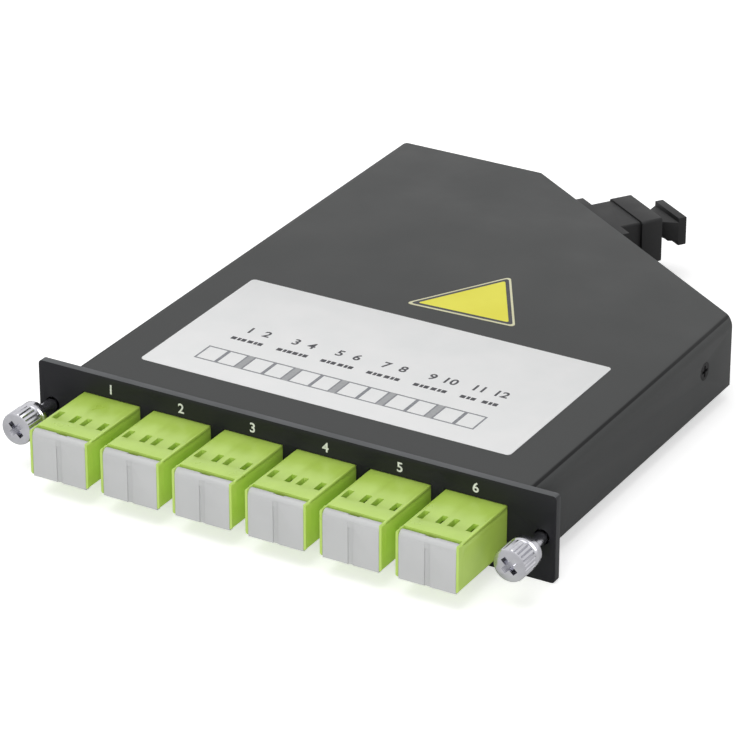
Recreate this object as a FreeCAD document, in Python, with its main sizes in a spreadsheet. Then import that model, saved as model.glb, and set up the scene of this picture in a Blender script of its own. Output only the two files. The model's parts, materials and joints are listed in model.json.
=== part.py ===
import FreeCAD, Part
import math
import os
import re
import Sketcher
from FreeCAD import Vector

# Fibre cassette: a flat sheet-steel housing behind a narrow front plate, six duplex
# adapters with hinged shutters at the front and one twelve-fibre adapter on the slanted
# rear corner. Millimetres. X runs along the front plate, Y goes back into the housing
# from the plate's rear face, Z goes up from the plate's bottom edge.

ADAPTERS = 6
PORTS = 2 * ADAPTERS
PARALLEL = 0.9  # least share of a unit direction that counts as parallel
LEAST_CUT = 1e-6  # mm3, below which a pocket has cut nothing
KNURLS = 24

SIZES = {
    # front plate
    "plate_width": (112.0, "width of the front plate"),
    "plate_height": (17.8, "height of the front plate"),
    "plate_thick": (1.6, "sheet thickness of the front plate"),
    "plate_corner": (0.8, "corner radius of the front plate"),
    # housing of folded sheet
    "housing_left": (48.7, "plate centre to outside of left wall"),
    "housing_right": (51.3, "plate centre to outside of right wall"),
    "housing_depth": (126.2, "plate to outside of rear wall"),
    "housing_base": (3.0, "plate's bottom edge up to the underside of the housing"),
    "housing_top": (17.7, "plate's bottom edge up to the top of the cover"),
    "sheet_thick": (0.8, "sheet thickness of cover, tray and adapter comb"),
    "bend_radius": (2.0, "outer bend radius of the cover"),
    "tray_bend": (1.2, "outer bend radius of the tray"),
    "shell_gap": (0.1, "gap between pieces of sheet that meet"),
    "overrun": (1.0, "how far a cut runs past the face it opens"),
    "join": (0.5, "how far an added form reaches into the one it grows from"),
    "relief_radius": (1.1, "round relief where two tray walls meet"),
    "countersink_depth": (0.68, "depth of the countersinks in the cover's side walls"),
    "slant_width": (65.65, "width of the cut-off rear corner"),
    "slant_angle": (34.0, "angle of the slanted wall to the front plate, degrees"),
    # duplex adapters
    "adapter_pitch": (15.8, "spacing of the adapters"),
    "adapter_width": (12.9, "width of an adapter"),
    "adapter_height": (9.35, "height of an adapter"),
    "adapter_front": (18.2, "reach of an adapter ahead of the plate's rear face"),
    "adapter_rear": (8.4, "reach of an adapter behind the plate's rear face"),
    "adapter_level": (8.7, "height of the adapters' middle above the plate's bottom edge"),
    "adapter_edge": (0.45, "edge radius of an adapter"),
    "window_gap": (0.1, "gap round an adapter in its window"),
    "window_floor": (1.7, "underside of a latch window above the adapter's middle"),
    "wing_reach": (0.7, "how far a wing stands out from the adapter's side"),
    "wing_height": (7.0, "height of a wing"),
    "wing_thick": (1.6, "thickness of a wing"),
    "port_pitch": (6.25, "spacing of the two ports"),
    "port_width": (4.9, "width and height of a port's square part"),
    "port_floor": (3.6, "port floor below the adapter's middle"),
    "latch_width": (3.3, "width of the latch channel"),
    "latch_top": (3.6, "latch channel's top above the adapter's middle"),
    "divider_thick": (1.6, "thickness of the sleeve holder's web between front and rear ports"),
    "divider_gap": (0.05, "gap round the web in the ports"),
    "holder_length": (10.0, "length of a sleeve holder's tubes"),
    "holder_radius": (1.55, "outer radius of these tubes"),
    "slot_width": (1.2, "width of a latch window"),
    "slot_length": (3.0, "length of a latch window"),
    "slot_spacing": (3.8, "spacing of one port's two latch windows"),
    "slot_setback": (6.2, "adapter end to the middle of the latch windows"),
    "sleeve_radius": (0.82, "outer radius of an alignment sleeve"),
    "sleeve_length": (8.0, "length of an alignment sleeve"),
    "ferrule_radius": (0.625, "radius of a ferrule"),
    "fit_gap": (0.02, "radial play of ferrule in sleeve and sleeve in holder"),
    # shutters
    "flap_thick": (1.2, "thickness of a shutter"),
    "flap_gap": (0.2, "gap between shutter and adapter"),
    "hinge_lead": (0.1, "hinge axis ahead of the shutter's rear face"),
    "barrel_gap": (0.1, "gap between the hinge barrel and the adapter"),
    "ear_gap": (0.15, "gap between a hinge ear and the shutter"),
    "ear_flat": (0.05, "height cut off an ear where it runs back to the adapter"),
    "pin_recess": (0.1, "pin's end inside the ear's face"),
    "flap_edge": (0.25, "edge radius of a shutter"),
    "flap_lip": (0.45, "reach of a shutter below the adapter, for a fingertip"),
    "barrel_radius": (1.05, "outer radius of the hinge barrel"),
    "hinge_drop": (1.15, "hinge axis below the adapter's top"),
    "ear_width": (0.9, "width of a hinge ear"),
    "ear_radius": (1.1, "radius of a hinge ear"),
    "pin_radius": (0.4, "radius of a hinge pin"),
    "pin_play": (0.05, "radial play of pin in barrel"),
    "groove_width": (0.7, "width of the shutter's middle groove"),
    "groove_depth": (0.35, "depth of the shutter's middle groove"),
    "groove_stop": (1.0, "groove's end below the hinge axis"),
    "coil_radius": (0.8, "outer radius of the shutter spring's coil"),
    "coil_length": (2.0, "length of the shutter spring's coil"),
    "coil_gap": (0.15, "gap round the coil in its pocket"),
    "wire_radius": (0.15, "radius of the spring's leg"),
    "leg_length": (2.4, "length of the spring's leg"),
    "leg_gap": (0.05, "gap round the spring's leg in its slot"),
    # adapter comb
    "comb_lip": (6.0, "width of the comb's top lip"),
    "comb_edge": (0.8, "width of the comb's right end tooth"),
    "comb_wall_gap": (0.15, "gap between the comb's left end and the tray's wall"),
    "comb_gap": (0.05, "gap between comb and adapter wings"),
    "comb_step": (0.3, "foot of an end tooth above the adapters' underside"),
    "wing_gap": (0.1, "gap between the tray's front wall and the adapter wings"),
    # captive screws
    "screw_offset": (53.1, "plate centre to a captive screw"),
    "screw_level": (8.9, "height of the captive screws above the plate's bottom edge"),
    "screw_radius": (1.5, "radius of the thread, M3"),
    "shank_radius": (1.3, "radius of the plain shank between head and ring"),
    "screw_tip": (6.5, "thread's reach behind the plate's rear face"),
    "screw_travel": (5.5, "push-in travel of a captive screw"),
    "screw_play": (0.1, "radial play of the thread in the plate"),
    "head_radius": (3.3, "radius of the knurled head"),
    "head_length": (6.8, "length of the knurled head"),
    "head_standoff": (5.6, "head to front of plate, pulled out"),
    "head_bevel": (0.4, "bevel on the head's rims"),
    "neck_depth": (0.5, "depth of the groove round the head"),
    "neck_width": (0.3, "width of the groove's floor"),
    "knurl_part": (0.68, "share of the head's length that is knurled"),
    "collar_step": (0.1, "collar behind the groove, smaller in radius by this much"),
    "tip_bevel": (0.5, "bevel on the screw's tip"),
    "knurl_depth": (0.25, "depth of a knurl groove"),
    "recess_depth": (1.6, "depth of the cross recess"),
    "recess_span": (3.8, "span of the cross recess"),
    "recess_slot": (0.9, "width of one arm of the cross recess"),
    "ring_radius": (2.5, "outer radius of the retaining ring"),
    "ring_thick": (0.6, "thickness of the retaining ring"),
    "ring_bite": (0.45, "depth of the ring's groove below the thread's radius"),
    "ring_play": (0.05, "play of the ring in its groove"),
    "ring_gap": (0.15, "ring behind the plate's rear face, with the screw pulled out"),
    "notch_gap": (0.7, "gap round the ring in the cover's notch"),
    # cover screws, rivets
    "cover_screw_level": (11.1, "height of the cover screws above the plate's bottom edge"),
    "cover_screw_setback": (12.0, "end of a side wall to its cover screw"),
    "cover_screw_radius": (1.25, "thread radius of a cover screw, M2.5"),
    "cover_screw_length": (4.0, "length of a cover screw"),
    "cover_screw_bevel": (0.35, "bevel on a cover screw's tip"),
    "cover_screw_play": (0.05, "radial play of a cover screw in its hole"),
    "cover_recess_depth": (0.6, "depth of a cover screw's cross recess"),
    "cover_recess_span": (2.4, "span of this recess"),
    "cover_recess_slot": (0.6, "width of one arm of this recess"),
    "rivet_radius": (0.75, "shank radius of a plate rivet"),
    "rivet_head": (1.3, "head radius of a plate rivet"),
    "rivet_level": (15.4, "height of the plate rivets above the plate's bottom edge"),
    "rivet_closing": (0.6, "height of a rivet's closing head"),
    "rivet_closing_bevel": (0.2, "bevel on a rivet's closing head"),
    # rear adapter, plug and cap, along the slanted wall
    "mpo_along": (21.8, "slanted wall's left end to the middle of the rear adapter"),
    "mpo_level": (11.2, "height of the rear adapter's middle above the plate's bottom edge"),
    "mpo_width": (12.9, "width of the rear adapter's body"),
    "mpo_height": (9.4, "height of the rear adapter"),
    "mpo_out": (8.3, "reach of the rear adapter outside the wall"),
    "mpo_in": (12.5, "reach of the rear adapter inside the wall"),
    "mpo_flange": (19.9, "width of the rear adapter's flange"),
    "mpo_flange_thick": (3.6, "thickness of the rear adapter's flange"),
    "mpo_port_width": (9.8, "width of the rear adapter's port"),
    "mpo_port_height": (6.8, "height of the rear adapter's port"),
    "mpo_web": (1.6, "thickness of the web between its two ports"),
    "mpo_web_place": (2.2, "middle of the web inside the wall's outer face"),
    "mpo_key_setback": (2.0, "key slot's end ahead of the web in the outer port"),
    "mpo_key_width": (2.6, "width of the key slot"),
    "mpo_key_depth": (0.7, "depth of the key slot"),
    "mpo_screw_spacing": (16.4, "spacing of its two screws"),
    "mpo_screw_radius": (0.9, "radius of these screws"),
    "mpo_head_radius": (1.6, "head radius of these screws"),
    "mpo_head_thick": (1.2, "head height of these screws"),
    "mpo_head_side": (0.6, "share of a screw head's height that stands straight"),
    "mpo_head_top": (0.7, "share of a screw head's radius that is flat on top"),
    "mpo_recess_floor": (0.4, "share of a screw head's height below its recess"),
    "mpo_screw_end": (1.2, "reach of these screws inside the wall"),
    "mpo_screw_bevel": (0.3, "bevel on the tip of these screws"),
    "plug_gap": (0.1, "gap round a plug or cap in a port"),
    "cap_width": (13.9, "width of the dust cap"),
    "cap_height": (9.9, "height of the dust cap"),
    "cap_length": (4.8, "length of the dust cap's head"),
    "cap_plug": (5.6, "depth of the dust cap's plug in the port"),
    "cap_wall": (1.2, "wall of the dust cap's hollow plug"),
    "pull_neck": (5.6, "width of the cap's neck"),
    "pull_neck_height": (4.2, "height of the cap's neck"),
    "pull_reach": (5.8, "reach of the pull beyond the cap's head"),
    "pull_width": (10.0, "width of the pull's cross bar"),
    "pull_height": (6.2, "height of the pull's cross bar"),
    "pull_thick": (1.6, "thickness of the pull's cross bar"),
    "pull_flare": (2.2, "length over which the neck widens into the bar"),
    "pull_edge": (0.3, "edge radius of the cross bar's outer face"),
    "finger_radius": (1.9, "radius of the finger groove under the neck"),
    "finger_place": (1.7, "finger groove's middle beyond the cap's head"),
    "finger_depth": (0.7, "depth of the finger groove"),
    "cap_edge": (0.63, "edge radius of the dust cap"),
    "plug_width": (12.3, "width of the inner twelve-fibre plug"),
    "plug_height": (7.7, "height of the inner twelve-fibre plug"),
    "plug_length": (12.4, "length of its housing behind the adapter"),
    "mt_width": (6.4, "width of its rectangular ferrule"),
    "mt_height": (2.5, "height of its rectangular ferrule"),
    "mt_proud": (0.1, "reach of its rectangular ferrule beyond the web"),
    "plug_edge": (0.8, "edge radius of the plug's housing"),
    "key_setback": (1.5, "key's end behind the plug's nose"),
    "grip_width": (1.0, "width of a grip groove on the plug's housing"),
    "grip_depth": (0.3, "depth of a grip groove"),
    "grip_setback": (2.0, "first grip groove from the housing's end"),
    "grip_run": (6.0, "first to last grip groove"),
    "fanout_length": (13.0, "length of the fan-out boot"),
    "fanout_width": (13.0, "width of the fan-out boot"),
    "fanout_height": (4.0, "height of the fan-out boot at its end"),
    # inner duplex plugs and fibre tubes
    "lc_width": (4.5, "width and height of an inner plug"),
    "lc_tail": (6.0, "reach of an inner plug behind the adapter"),
    "lc_boot": (9.0, "length of an inner plug's boot"),
    "lc_boot_radius": (1.6, "radius of the boot at the plug"),
    "lc_boot_wall": (0.4, "boot wall round the tube at its end"),
    "lc_nose_gap": (0.3, "gap between an inner plug's nose and the sleeve holder"),
    "lc_nose_setback": (0.8, "inner plug's nose to its latch arm"),
    "lc_ramp": (2.4, "inner plug's nose to the top of the latch's ramp"),
    "lc_catch": (1.2, "length of the latch's catch"),
    "lc_catch_height": (1.9, "height of the catch above the inner plug"),
    "lc_arm_width": (2.9, "width of the latch arm"),
    "lc_arm_length": (11.5, "inner plug's nose to the end of the latch arm"),
    "lc_arm_rise": (2.1, "rise of the latch arm's end above the inner plug"),
    "lc_arm_thick": (0.5, "thickness of the latch arm's end"),
    "ferrule_gap": (0.02, "gap from a ferrule's end to the middle of its sleeve"),
    "tube_radius": (0.45, "radius of a fibre tube"),
    "tube_pitch": (1.0, "spacing of the fibre tubes in the fan-out boot"),
    "tube_bend": (16.0, "bend radius of a fibre tube"),
    "tube_lead": (1.0, "straight stretch of a fibre tube before its plug"),
    "tube_seat": (3.0, "depth of a fibre tube's seat in the fan-out boot"),
}

doc = FreeCAD.newDocument("fibre_cassette")
sheet = doc.addObject("Spreadsheet::Sheet", "sizes")
for row, (name, (value, note)) in enumerate(SIZES.items(), 1):
    sheet.set(f"A{row}", name)
    sheet.set(f"B{row}", str(value))
    sheet.set(f"C{row}", note)
    sheet.setAlias(f"B{row}", name)
doc.recompute()

nodes = {}


# ---- helpers: expressions, sketches and features -------------------------------------

def bound(expression):
    """Write an expression of sheet names as FreeCAD reads it on another object."""
    return re.sub(
        r"[a-z_][a-z_0-9]*",
        lambda word: "sizes." + word.group(0) if word.group(0) in SIZES else word.group(0),
        str(expression),
    )


def size(expression):
    """Return the present value of an expression of sheet names."""
    return float(sheet.evalExpression(str(expression)))


def bind(item, **properties):
    """Tie properties of an object to expressions of sheet names."""
    for name, expression in properties.items():
        item.setExpression(name.replace("__", "."), bound(expression))


def new_body(name):
    body = doc.addObject("PartDesign::Body", name)
    body.Label = name
    return body


def origin_feature(body, role):
    return [item for item in body.Origin.OriginFeatures if item.Role == role][0]


def circle(across, up, radius):
    return ("circle", across, up, radius)


def rectangle(left, right, bottom, top):
    return [(left, bottom), (right, bottom), (right, top), (left, top)]


def centred(width, height, across="0", up="0"):
    return rectangle(
        f"{across} - ({width}) / 2", f"{across} + ({width}) / 2",
        f"{up} - ({height}) / 2", f"{up} + ({height}) / 2",
    )


def draw_polygon(sketch, points):
    """Draw a closed polygon whose corners are held at expressions from the origin."""
    places = [Vector(size(across), size(up), 0) for across, up in points]
    first = sketch.GeometryCount
    count = len(places)
    for index in range(count):
        sketch.addGeometry(Part.LineSegment(places[index], places[(index + 1) % count]), False)
    for index in range(count):
        following = first + (index + 1) % count
        sketch.addConstraint(Sketcher.Constraint("Coincident", first + index, 2, following, 1))
    for index, (across, up) in enumerate(points):
        hold_point(sketch, first + index, 1, across, up, places[index])


def draw_circle(sketch, across, up, radius):
    centre = Vector(size(across), size(up), 0)
    index = sketch.addGeometry(Part.Circle(centre, Vector(0, 0, 1), size(radius)), False)
    hold_point(sketch, index, 3, across, up, centre)
    held = sketch.addConstraint(Sketcher.Constraint("Radius", index, size(radius)))
    sketch.setExpression(f"Constraints[{held}]", bound(radius))


def hold_point(sketch, geometry, end, across, up, place):
    for kind, expression, value in (("DistanceX", across, place.x), ("DistanceY", up, place.y)):
        held = sketch.addConstraint(Sketcher.Constraint(kind, -1, 1, geometry, end, value))
        sketch.setExpression(f"Constraints[{held}]", bound(expression))


def sketch_on(body, plane, start, outlines, offset=None):
    """Sketch closed outlines on a plane of the body, at the given place along its axis."""
    sketch = body.newObject("Sketcher::SketchObject", "sketch")
    sketch.AttachmentSupport = [(origin_feature(body, plane + "_Plane"), "")]
    sketch.MapMode = "FlatFace"
    if offset:
        bind(sketch, AttachmentOffset=offset)
    else:
        bind(sketch, AttachmentOffset__Base__z=f"-({start})" if plane == "XZ" else start)
    for outline in outlines:
        if outline[0] == "circle":
            draw_circle(sketch, *outline[1:])
        else:
            draw_polygon(sketch, outline)
    return sketch


def pad(body, plane, start, length, *outlines, taper="0"):
    """Add material from start towards the plus side of the plane's axis."""
    feature = body.newObject("PartDesign::Pad", "pad")
    feature.Profile = sketch_on(body, plane, start, outlines)
    feature.Reversed = plane == "XZ"
    bind(feature, Length=length)
    if taper != "0":
        bind(feature, TaperAngle=taper)
    doc.recompute()
    return feature


def pocket(body, plane, start, length, *outlines, taper="0", offset=None):
    """Cut material from start towards the plus side of the plane's axis."""
    before = body.Shape.Volume
    feature = body.newObject("PartDesign::Pocket", "pocket")
    feature.Profile = sketch_on(body, plane, start, outlines, offset)
    feature.Reversed = plane != "XZ"
    bind(feature, Length=length)
    if taper != "0":
        bind(feature, TaperAngle=taper)
    doc.recompute()
    if body.Shape.Volume > before - LEAST_CUT:
        raise ValueError(f"a pocket of {body.Label} cuts nothing")
    return feature


def cut_through(body, plane, start, length, *outlines):
    """Cut right through a wall, running past both of its faces."""
    return pocket(body, plane, f"{start} - overrun", f"{length} + 2 * overrun", *outlines)


def row_of(body, feature, axis, length, count):
    """Repeat a feature in a straight row along an axis of the body."""
    pattern = body.newObject("PartDesign::LinearPattern", "row")
    pattern.Originals = [feature]
    pattern.Direction = (origin_feature(body, axis + "_Axis"), [""])
    bind(pattern, Length=length)
    pattern.Occurrences = count
    body.Tip = pattern
    doc.recompute()
    return pattern


def ring_of(body, feature, axis, count):
    """Repeat a feature round an axis of the body."""
    pattern = body.newObject("PartDesign::PolarPattern", "ring")
    pattern.Originals = [feature]
    pattern.Axis = (origin_feature(body, axis + "_Axis"), [""])
    pattern.Angle = 360
    pattern.Occurrences = count
    body.Tip = pattern
    doc.recompute()
    return pattern


def turned(body, outline):
    """Turn an outline of (radius, along Y) about the body's Y axis."""
    feature = body.newObject("PartDesign::Revolution", "turned")
    feature.Profile = sketch_on(body, "XY", "0", [outline])
    feature.ReferenceAxis = (origin_feature(body, "Y_Axis"), [""])
    feature.Angle = 360
    doc.recompute()
    return feature


def edges_where(shape, test):
    """Name the straight and round edges whose middle and direction pass a test."""
    names = []
    for index, edge in enumerate(shape.Edges, 1):
        middle = edge.CenterOfMass
        along = edge.tangentAt(edge.FirstParameter)
        if test(middle, along, edge):
            names.append(f"Edge{index}")
    return names


def round_edges(body, radius, test):
    base = body.Tip
    names = edges_where(base.Shape, test)
    if not names:
        raise ValueError(f"no edge of {body.Label} to round")
    feature = body.newObject("PartDesign::Fillet", "fillet")
    feature.Base = (base, names)
    bind(feature, Radius=radius)
    doc.recompute()
    return feature


def bevel_edges(body, width, test):
    base = body.Tip
    names = edges_where(base.Shape, test)
    if not names:
        raise ValueError(f"no edge of {body.Label} to bevel")
    feature = body.newObject("PartDesign::Chamfer", "chamfer")
    feature.Base = (base, names)
    bind(feature, Size=width)
    doc.recompute()
    return feature


def near(first, second, tolerance=1e-4):
    return abs(first - second) < tolerance


def lengthwise(along):
    """Whether an edge runs along Y."""
    return abs(along.y) > PARALLEL


def place(item, across="0", along="0", up="0"):
    """Put an object at a place given by expressions."""
    bind(item, Placement=(
        f"placement(vector({across}; {along}; {up}); rotation(vector(0; 0; 1); 0 * 1deg))"))


def place_on_slant(item):
    """Put an object on the slanted wall: its X along the wall, its Y straight out."""
    bind(item, Placement=SLANT_PLACE)


def group(name, members):
    """Gather separate equal solids in one node."""
    compound = doc.addObject("Part::Compound", name)
    compound.Label = name
    compound.Links = members
    return keep(compound)


def keep(item):
    nodes[item.Label] = item
    return item


# ---- places worked out from the sizes ------------------------------------------------

SLANT_LEFT = "(housing_right - slant_width)"
SLANT_TAN = "tan(slant_angle * 1deg)"
MPO_X = f"({SLANT_LEFT} + mpo_along * cos(slant_angle * 1deg))"
MPO_Y = "(housing_depth - mpo_along * sin(slant_angle * 1deg))"
SLANT_PLACE = (
    f"placement(vector({MPO_X}; {MPO_Y}; mpo_level); "
    "rotation(vector(0; 0; 1); -slant_angle * 1deg))"
)
TRAY_LEFT = "(housing_left - sheet_thick - shell_gap)"
TRAY_RIGHT = "(housing_right - sheet_thick - shell_gap)"
TRAY_TOP = "(housing_top - sheet_thick - shell_gap)"
MIDDLE_Y = "((adapter_rear - adapter_front) / 2)"
HINGE_Y = "(-adapter_front - flap_gap - hinge_lead)"
HINGE_Z = "(adapter_height / 2 - hinge_drop)"
PORT_Z = "(port_width / 2 - port_floor)"
FLAP_BACK = "(adapter_front + flap_gap)"
FLAP_SHOULDER = "(adapter_height / 2 - hinge_drop - ear_radius - ear_gap)"
SPRING_LEG_Y = f"({HINGE_Y} + (coil_radius + pin_radius + pin_play) / 2)"
WING_FRONT = "(sheet_thick + wing_gap)"
COMB_FRONT = "(sheet_thick + wing_gap + wing_thick + comb_gap)"
TOOTH = "(adapter_pitch - adapter_width - 2 * window_gap)"
HEAD_BACK = "(-plate_thick - head_standoff)"
LEFT_SCREW_Y = "(housing_depth - cover_screw_setback)"
RIGHT_SCREW_Y = f"(housing_depth - slant_width * {SLANT_TAN} - cover_screw_setback)"
MPO_WEB_FRONT = "(mpo_web / 2 - mpo_web_place)"
MPO_WEB_BACK = "(-mpo_web / 2 - mpo_web_place)"
PLUG_BACK = "(-mpo_in - plug_gap)"
FANOUT_BACK = f"({PLUG_BACK} - plug_length - fanout_length)"
TUBE_DROP = f"(adapter_level + {PORT_Z} - mpo_level)"
SIDES = (-0.5, 0.5)


def adapter_x(index):
    """Middle of an adapter, counted from 0 at the left."""
    return f"(adapter_pitch * {index - (ADAPTERS - 1) / 2})"


def port_x(index):
    """Middle of a port, counted from 0 at the left."""
    return f"({adapter_x(index // 2)} + port_pitch * {SIDES[index % 2]})"


# ---- sheet-metal pieces --------------------------------------------------------------

def window_outline(index):
    return centred(
        "adapter_width + 2 * window_gap", "adapter_height + 2 * window_gap",
        adapter_x(index), "adapter_level",
    )


def make_front_plate():
    body = new_body("front_plate")
    pad(body, "XZ", "-plate_thick", "plate_thick",
        rectangle("-plate_width / 2", "plate_width / 2", "0", "plate_height"))
    round_edges(body, "plate_corner", lambda middle, along, edge: lengthwise(along))
    window = cut_through(body, "XZ", "-plate_thick", "plate_thick", window_outline(0))
    row_of(body, window, "X", f"adapter_pitch * {ADAPTERS - 1}", ADAPTERS)
    cut_through(body, "XZ", "-plate_thick", "plate_thick",
                circle("-screw_offset", "screw_level", "screw_radius + screw_play"),
                circle("screw_offset", "screw_level", "screw_radius + screw_play"))
    rivets = [circle(across, "rivet_level", "rivet_radius") for across in rivet_places()]
    cut_through(body, "XZ", "-plate_thick", "plate_thick", *rivets)
    front = size("-plate_thick")
    bevel_edges(body, "rivet_head - rivet_radius",
                lambda middle, along, edge: near(middle.y, front)
                and near(middle.z, size("rivet_level")))
    return keep(body)


def rivet_places():
    """The rivets sit between adapters, above the windows."""
    return [f"(adapter_pitch * {step})" for step in (-2, 0, 2)]


def tray_outline(inset):
    """Plan of the tray, drawn in from the outside by a wall's thickness."""
    right_back = (
        f"housing_depth - ({TRAY_RIGHT} - {inset} - {SLANT_LEFT}) * {SLANT_TAN}"
        f" - {inset} / cos(slant_angle * 1deg)"
    )
    slant_left = f"{SLANT_LEFT} - {inset} * tan(slant_angle / 2 * 1deg)"
    return [
        (f"-{TRAY_LEFT} + {inset}", inset),
        (f"{TRAY_RIGHT} - {inset}", inset),
        (f"{TRAY_RIGHT} - {inset}", right_back),
        (slant_left, f"housing_depth - {inset}"),
        (f"-{TRAY_LEFT} + {inset}", f"housing_depth - {inset}"),
    ]


def make_base_tray():
    body = new_body("base_tray")
    floor = size("housing_base")
    inner = floor + size("sheet_thick")
    pad(body, "XY", "housing_base", f"{TRAY_TOP} - housing_base", tray_outline("0"))
    round_edges(body, "tray_bend",
                lambda middle, along, edge: near(middle.z, floor) and middle.y > inner)
    pocket(body, "XY", "housing_base + sheet_thick", "plate_height", tray_outline("sheet_thick"))
    round_edges(body, "tray_bend - sheet_thick",
                lambda middle, along, edge: near(middle.z, inner) and middle.y > inner)
    # the side walls end below the cover's bends
    bend = "(bend_radius + shell_gap)"
    pocket(body, "XY", f"housing_top - {bend}", "plate_height",
           rectangle("-housing_left", f"-housing_left + {bend}", "-overrun", "housing_depth + overrun"),
           rectangle(f"housing_right - {bend}", "housing_right", "-overrun", "housing_depth + overrun"))
    # round reliefs where the walls meet
    reliefs = [circle(across, along, "relief_radius") for across, along in tray_outline("0")]
    cut_through(body, "XY", "housing_base", "plate_height", *reliefs)
    # windows for the adapters and slots for the comb's teeth
    window = cut_through(body, "XZ", "0", "sheet_thick", window_outline(0))
    row_of(body, window, "X", f"adapter_pitch * {ADAPTERS - 1}", ADAPTERS)
    slot = cut_through(body, "XY", "housing_base", "sheet_thick", centred(
        f"{TOOTH} + 2 * shell_gap", "sheet_thick + 2 * shell_gap",
        adapter_x(0.5), f"{COMB_FRONT} + sheet_thick / 2"))
    row_of(body, slot, "X", f"adapter_pitch * {ADAPTERS - 2}", ADAPTERS - 1)
    rivets = [circle(across, "rivet_level", "rivet_radius") for across in rivet_places()]
    cut_through(body, "XZ", "0", "sheet_thick", *rivets)
    # threaded holes for the cover screws
    cut_through(body, "YZ", f"{TRAY_RIGHT} - sheet_thick", "sheet_thick",
                circle(RIGHT_SCREW_Y, "cover_screw_level", "cover_screw_radius"))
    cut_through(body, "YZ", f"-{TRAY_LEFT}", "sheet_thick",
                circle(LEFT_SCREW_Y, "cover_screw_level", "cover_screw_radius"))
    # cut-out and screw holes for the rear adapter
    inside = "(sheet_thick + overrun)"
    cutter = (
        f"placement(vector({MPO_X} - {inside} * sin(slant_angle * 1deg); mpo_level; "
        f"-({MPO_Y} - {inside} * cos(slant_angle * 1deg))); "
        "rotation(vector(0; 1; 0); -slant_angle * 1deg))"
    )
    pocket(body, "XZ", "0", "sheet_thick + 2 * overrun",
           centred("mpo_width + 2 * window_gap", "mpo_height + 2 * window_gap"),
           circle("-mpo_screw_spacing / 2", "0", "mpo_screw_radius"),
           circle("mpo_screw_spacing / 2", "0", "mpo_screw_radius"), offset=cutter)
    return keep(body)


def make_top_cover():
    body = new_body("top_cover")
    outline = [
        ("-housing_left", "housing_base"),
        ("-housing_left + sheet_thick", "housing_base"),
        ("-housing_left + sheet_thick", "housing_top - sheet_thick"),
        ("housing_right - sheet_thick", "housing_top - sheet_thick"),
        ("housing_right - sheet_thick", "housing_base"),
        ("housing_right", "housing_base"),
        ("housing_right", "housing_top"),
        ("-housing_left", "housing_top"),
    ]
    pad(body, "XZ", "0", "housing_depth", outline)
    top = size("housing_top")
    inner = top - size("sheet_thick")
    round_edges(body, "bend_radius",
                lambda middle, along, edge: lengthwise(along) and near(middle.z, top))
    round_edges(body, "bend_radius - sheet_thick",
                lambda middle, along, edge: lengthwise(along) and near(middle.z, inner))
    corner = [
        (SLANT_LEFT, "housing_depth"),
        ("housing_right + overrun", f"housing_depth - (slant_width + overrun) * {SLANT_TAN}"),
        ("housing_right + overrun", "housing_depth + overrun"),
        (SLANT_LEFT, "housing_depth + overrun"),
    ]
    cut_through(body, "XY", "housing_base", "plate_height", corner)
    # notch that leaves room for the right captive screw's ring
    reach = "(ring_radius + notch_gap)"
    cut_through(body, "YZ", "housing_right - sheet_thick", "sheet_thick", rectangle(
        "-overrun", "ring_gap + screw_travel + ring_thick + notch_gap",
        f"screw_level - {reach}", f"screw_level + {reach}"))
    cut_through(body, "YZ", "housing_right - sheet_thick", "sheet_thick",
                circle(RIGHT_SCREW_Y, "cover_screw_level", "cover_screw_radius"))
    cut_through(body, "YZ", "-housing_left", "sheet_thick",
                circle(LEFT_SCREW_Y, "cover_screw_level", "cover_screw_radius"))
    level = size("cover_screw_level")
    right = size("housing_right")
    left = -size("housing_left")
    bevel_edges(body, "countersink_depth",
                lambda middle, along, edge: near(middle.z, level)
                and (near(middle.x, right) or near(middle.x, left)))
    return keep(body)


def make_adapter_comb():
    """A folded strip dropped over the adapters; its teeth stand in slots of the tray."""
    body = new_body("adapter_comb")
    left = f"(-({TRAY_LEFT} - sheet_thick - comb_wall_gap))"
    right = f"({adapter_x(ADAPTERS - 1)} + adapter_width / 2 + window_gap + comb_edge)"
    foot = "(adapter_level - adapter_height / 2 + comb_step)"
    crown = f"({TRAY_TOP} - shell_gap)"
    pad(body, "XZ", COMB_FRONT, "sheet_thick", rectangle(left, right, "housing_base", crown))
    pad(body, "XZ", COMB_FRONT, "sheet_thick + comb_lip",
        rectangle(left, right, f"{crown} - sheet_thick", crown))
    height = size(crown)
    inner = height - size("sheet_thick")
    front = size(COMB_FRONT)
    back = front + size("sheet_thick")
    round_edges(body, "tray_bend",
                lambda middle, along, edge: near(middle.z, height) and near(middle.y, front))
    round_edges(body, "tray_bend - sheet_thick",
                lambda middle, along, edge: near(middle.z, inner) and near(middle.y, back))
    gap = pocket(body, "XZ", "0", "adapter_rear", rectangle(
        f"{adapter_x(0)} - adapter_width / 2 - window_gap",
        f"{adapter_x(0)} + adapter_width / 2 + window_gap",
        "housing_base - overrun", "adapter_level + adapter_height / 2 + window_gap"))
    row_of(body, gap, "X", f"adapter_pitch * {ADAPTERS - 1}", ADAPTERS)
    pocket(body, "XZ", "0", "adapter_rear",
           rectangle(f"{left} - overrun", f"{left} + 2 * comb_edge", "housing_base - overrun", foot),
           rectangle(f"{right} - 2 * comb_edge", f"{right} + overrun", "housing_base - overrun", foot))
    return keep(body)


# ---- duplex adapters and their shutters ----------------------------------------------

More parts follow.
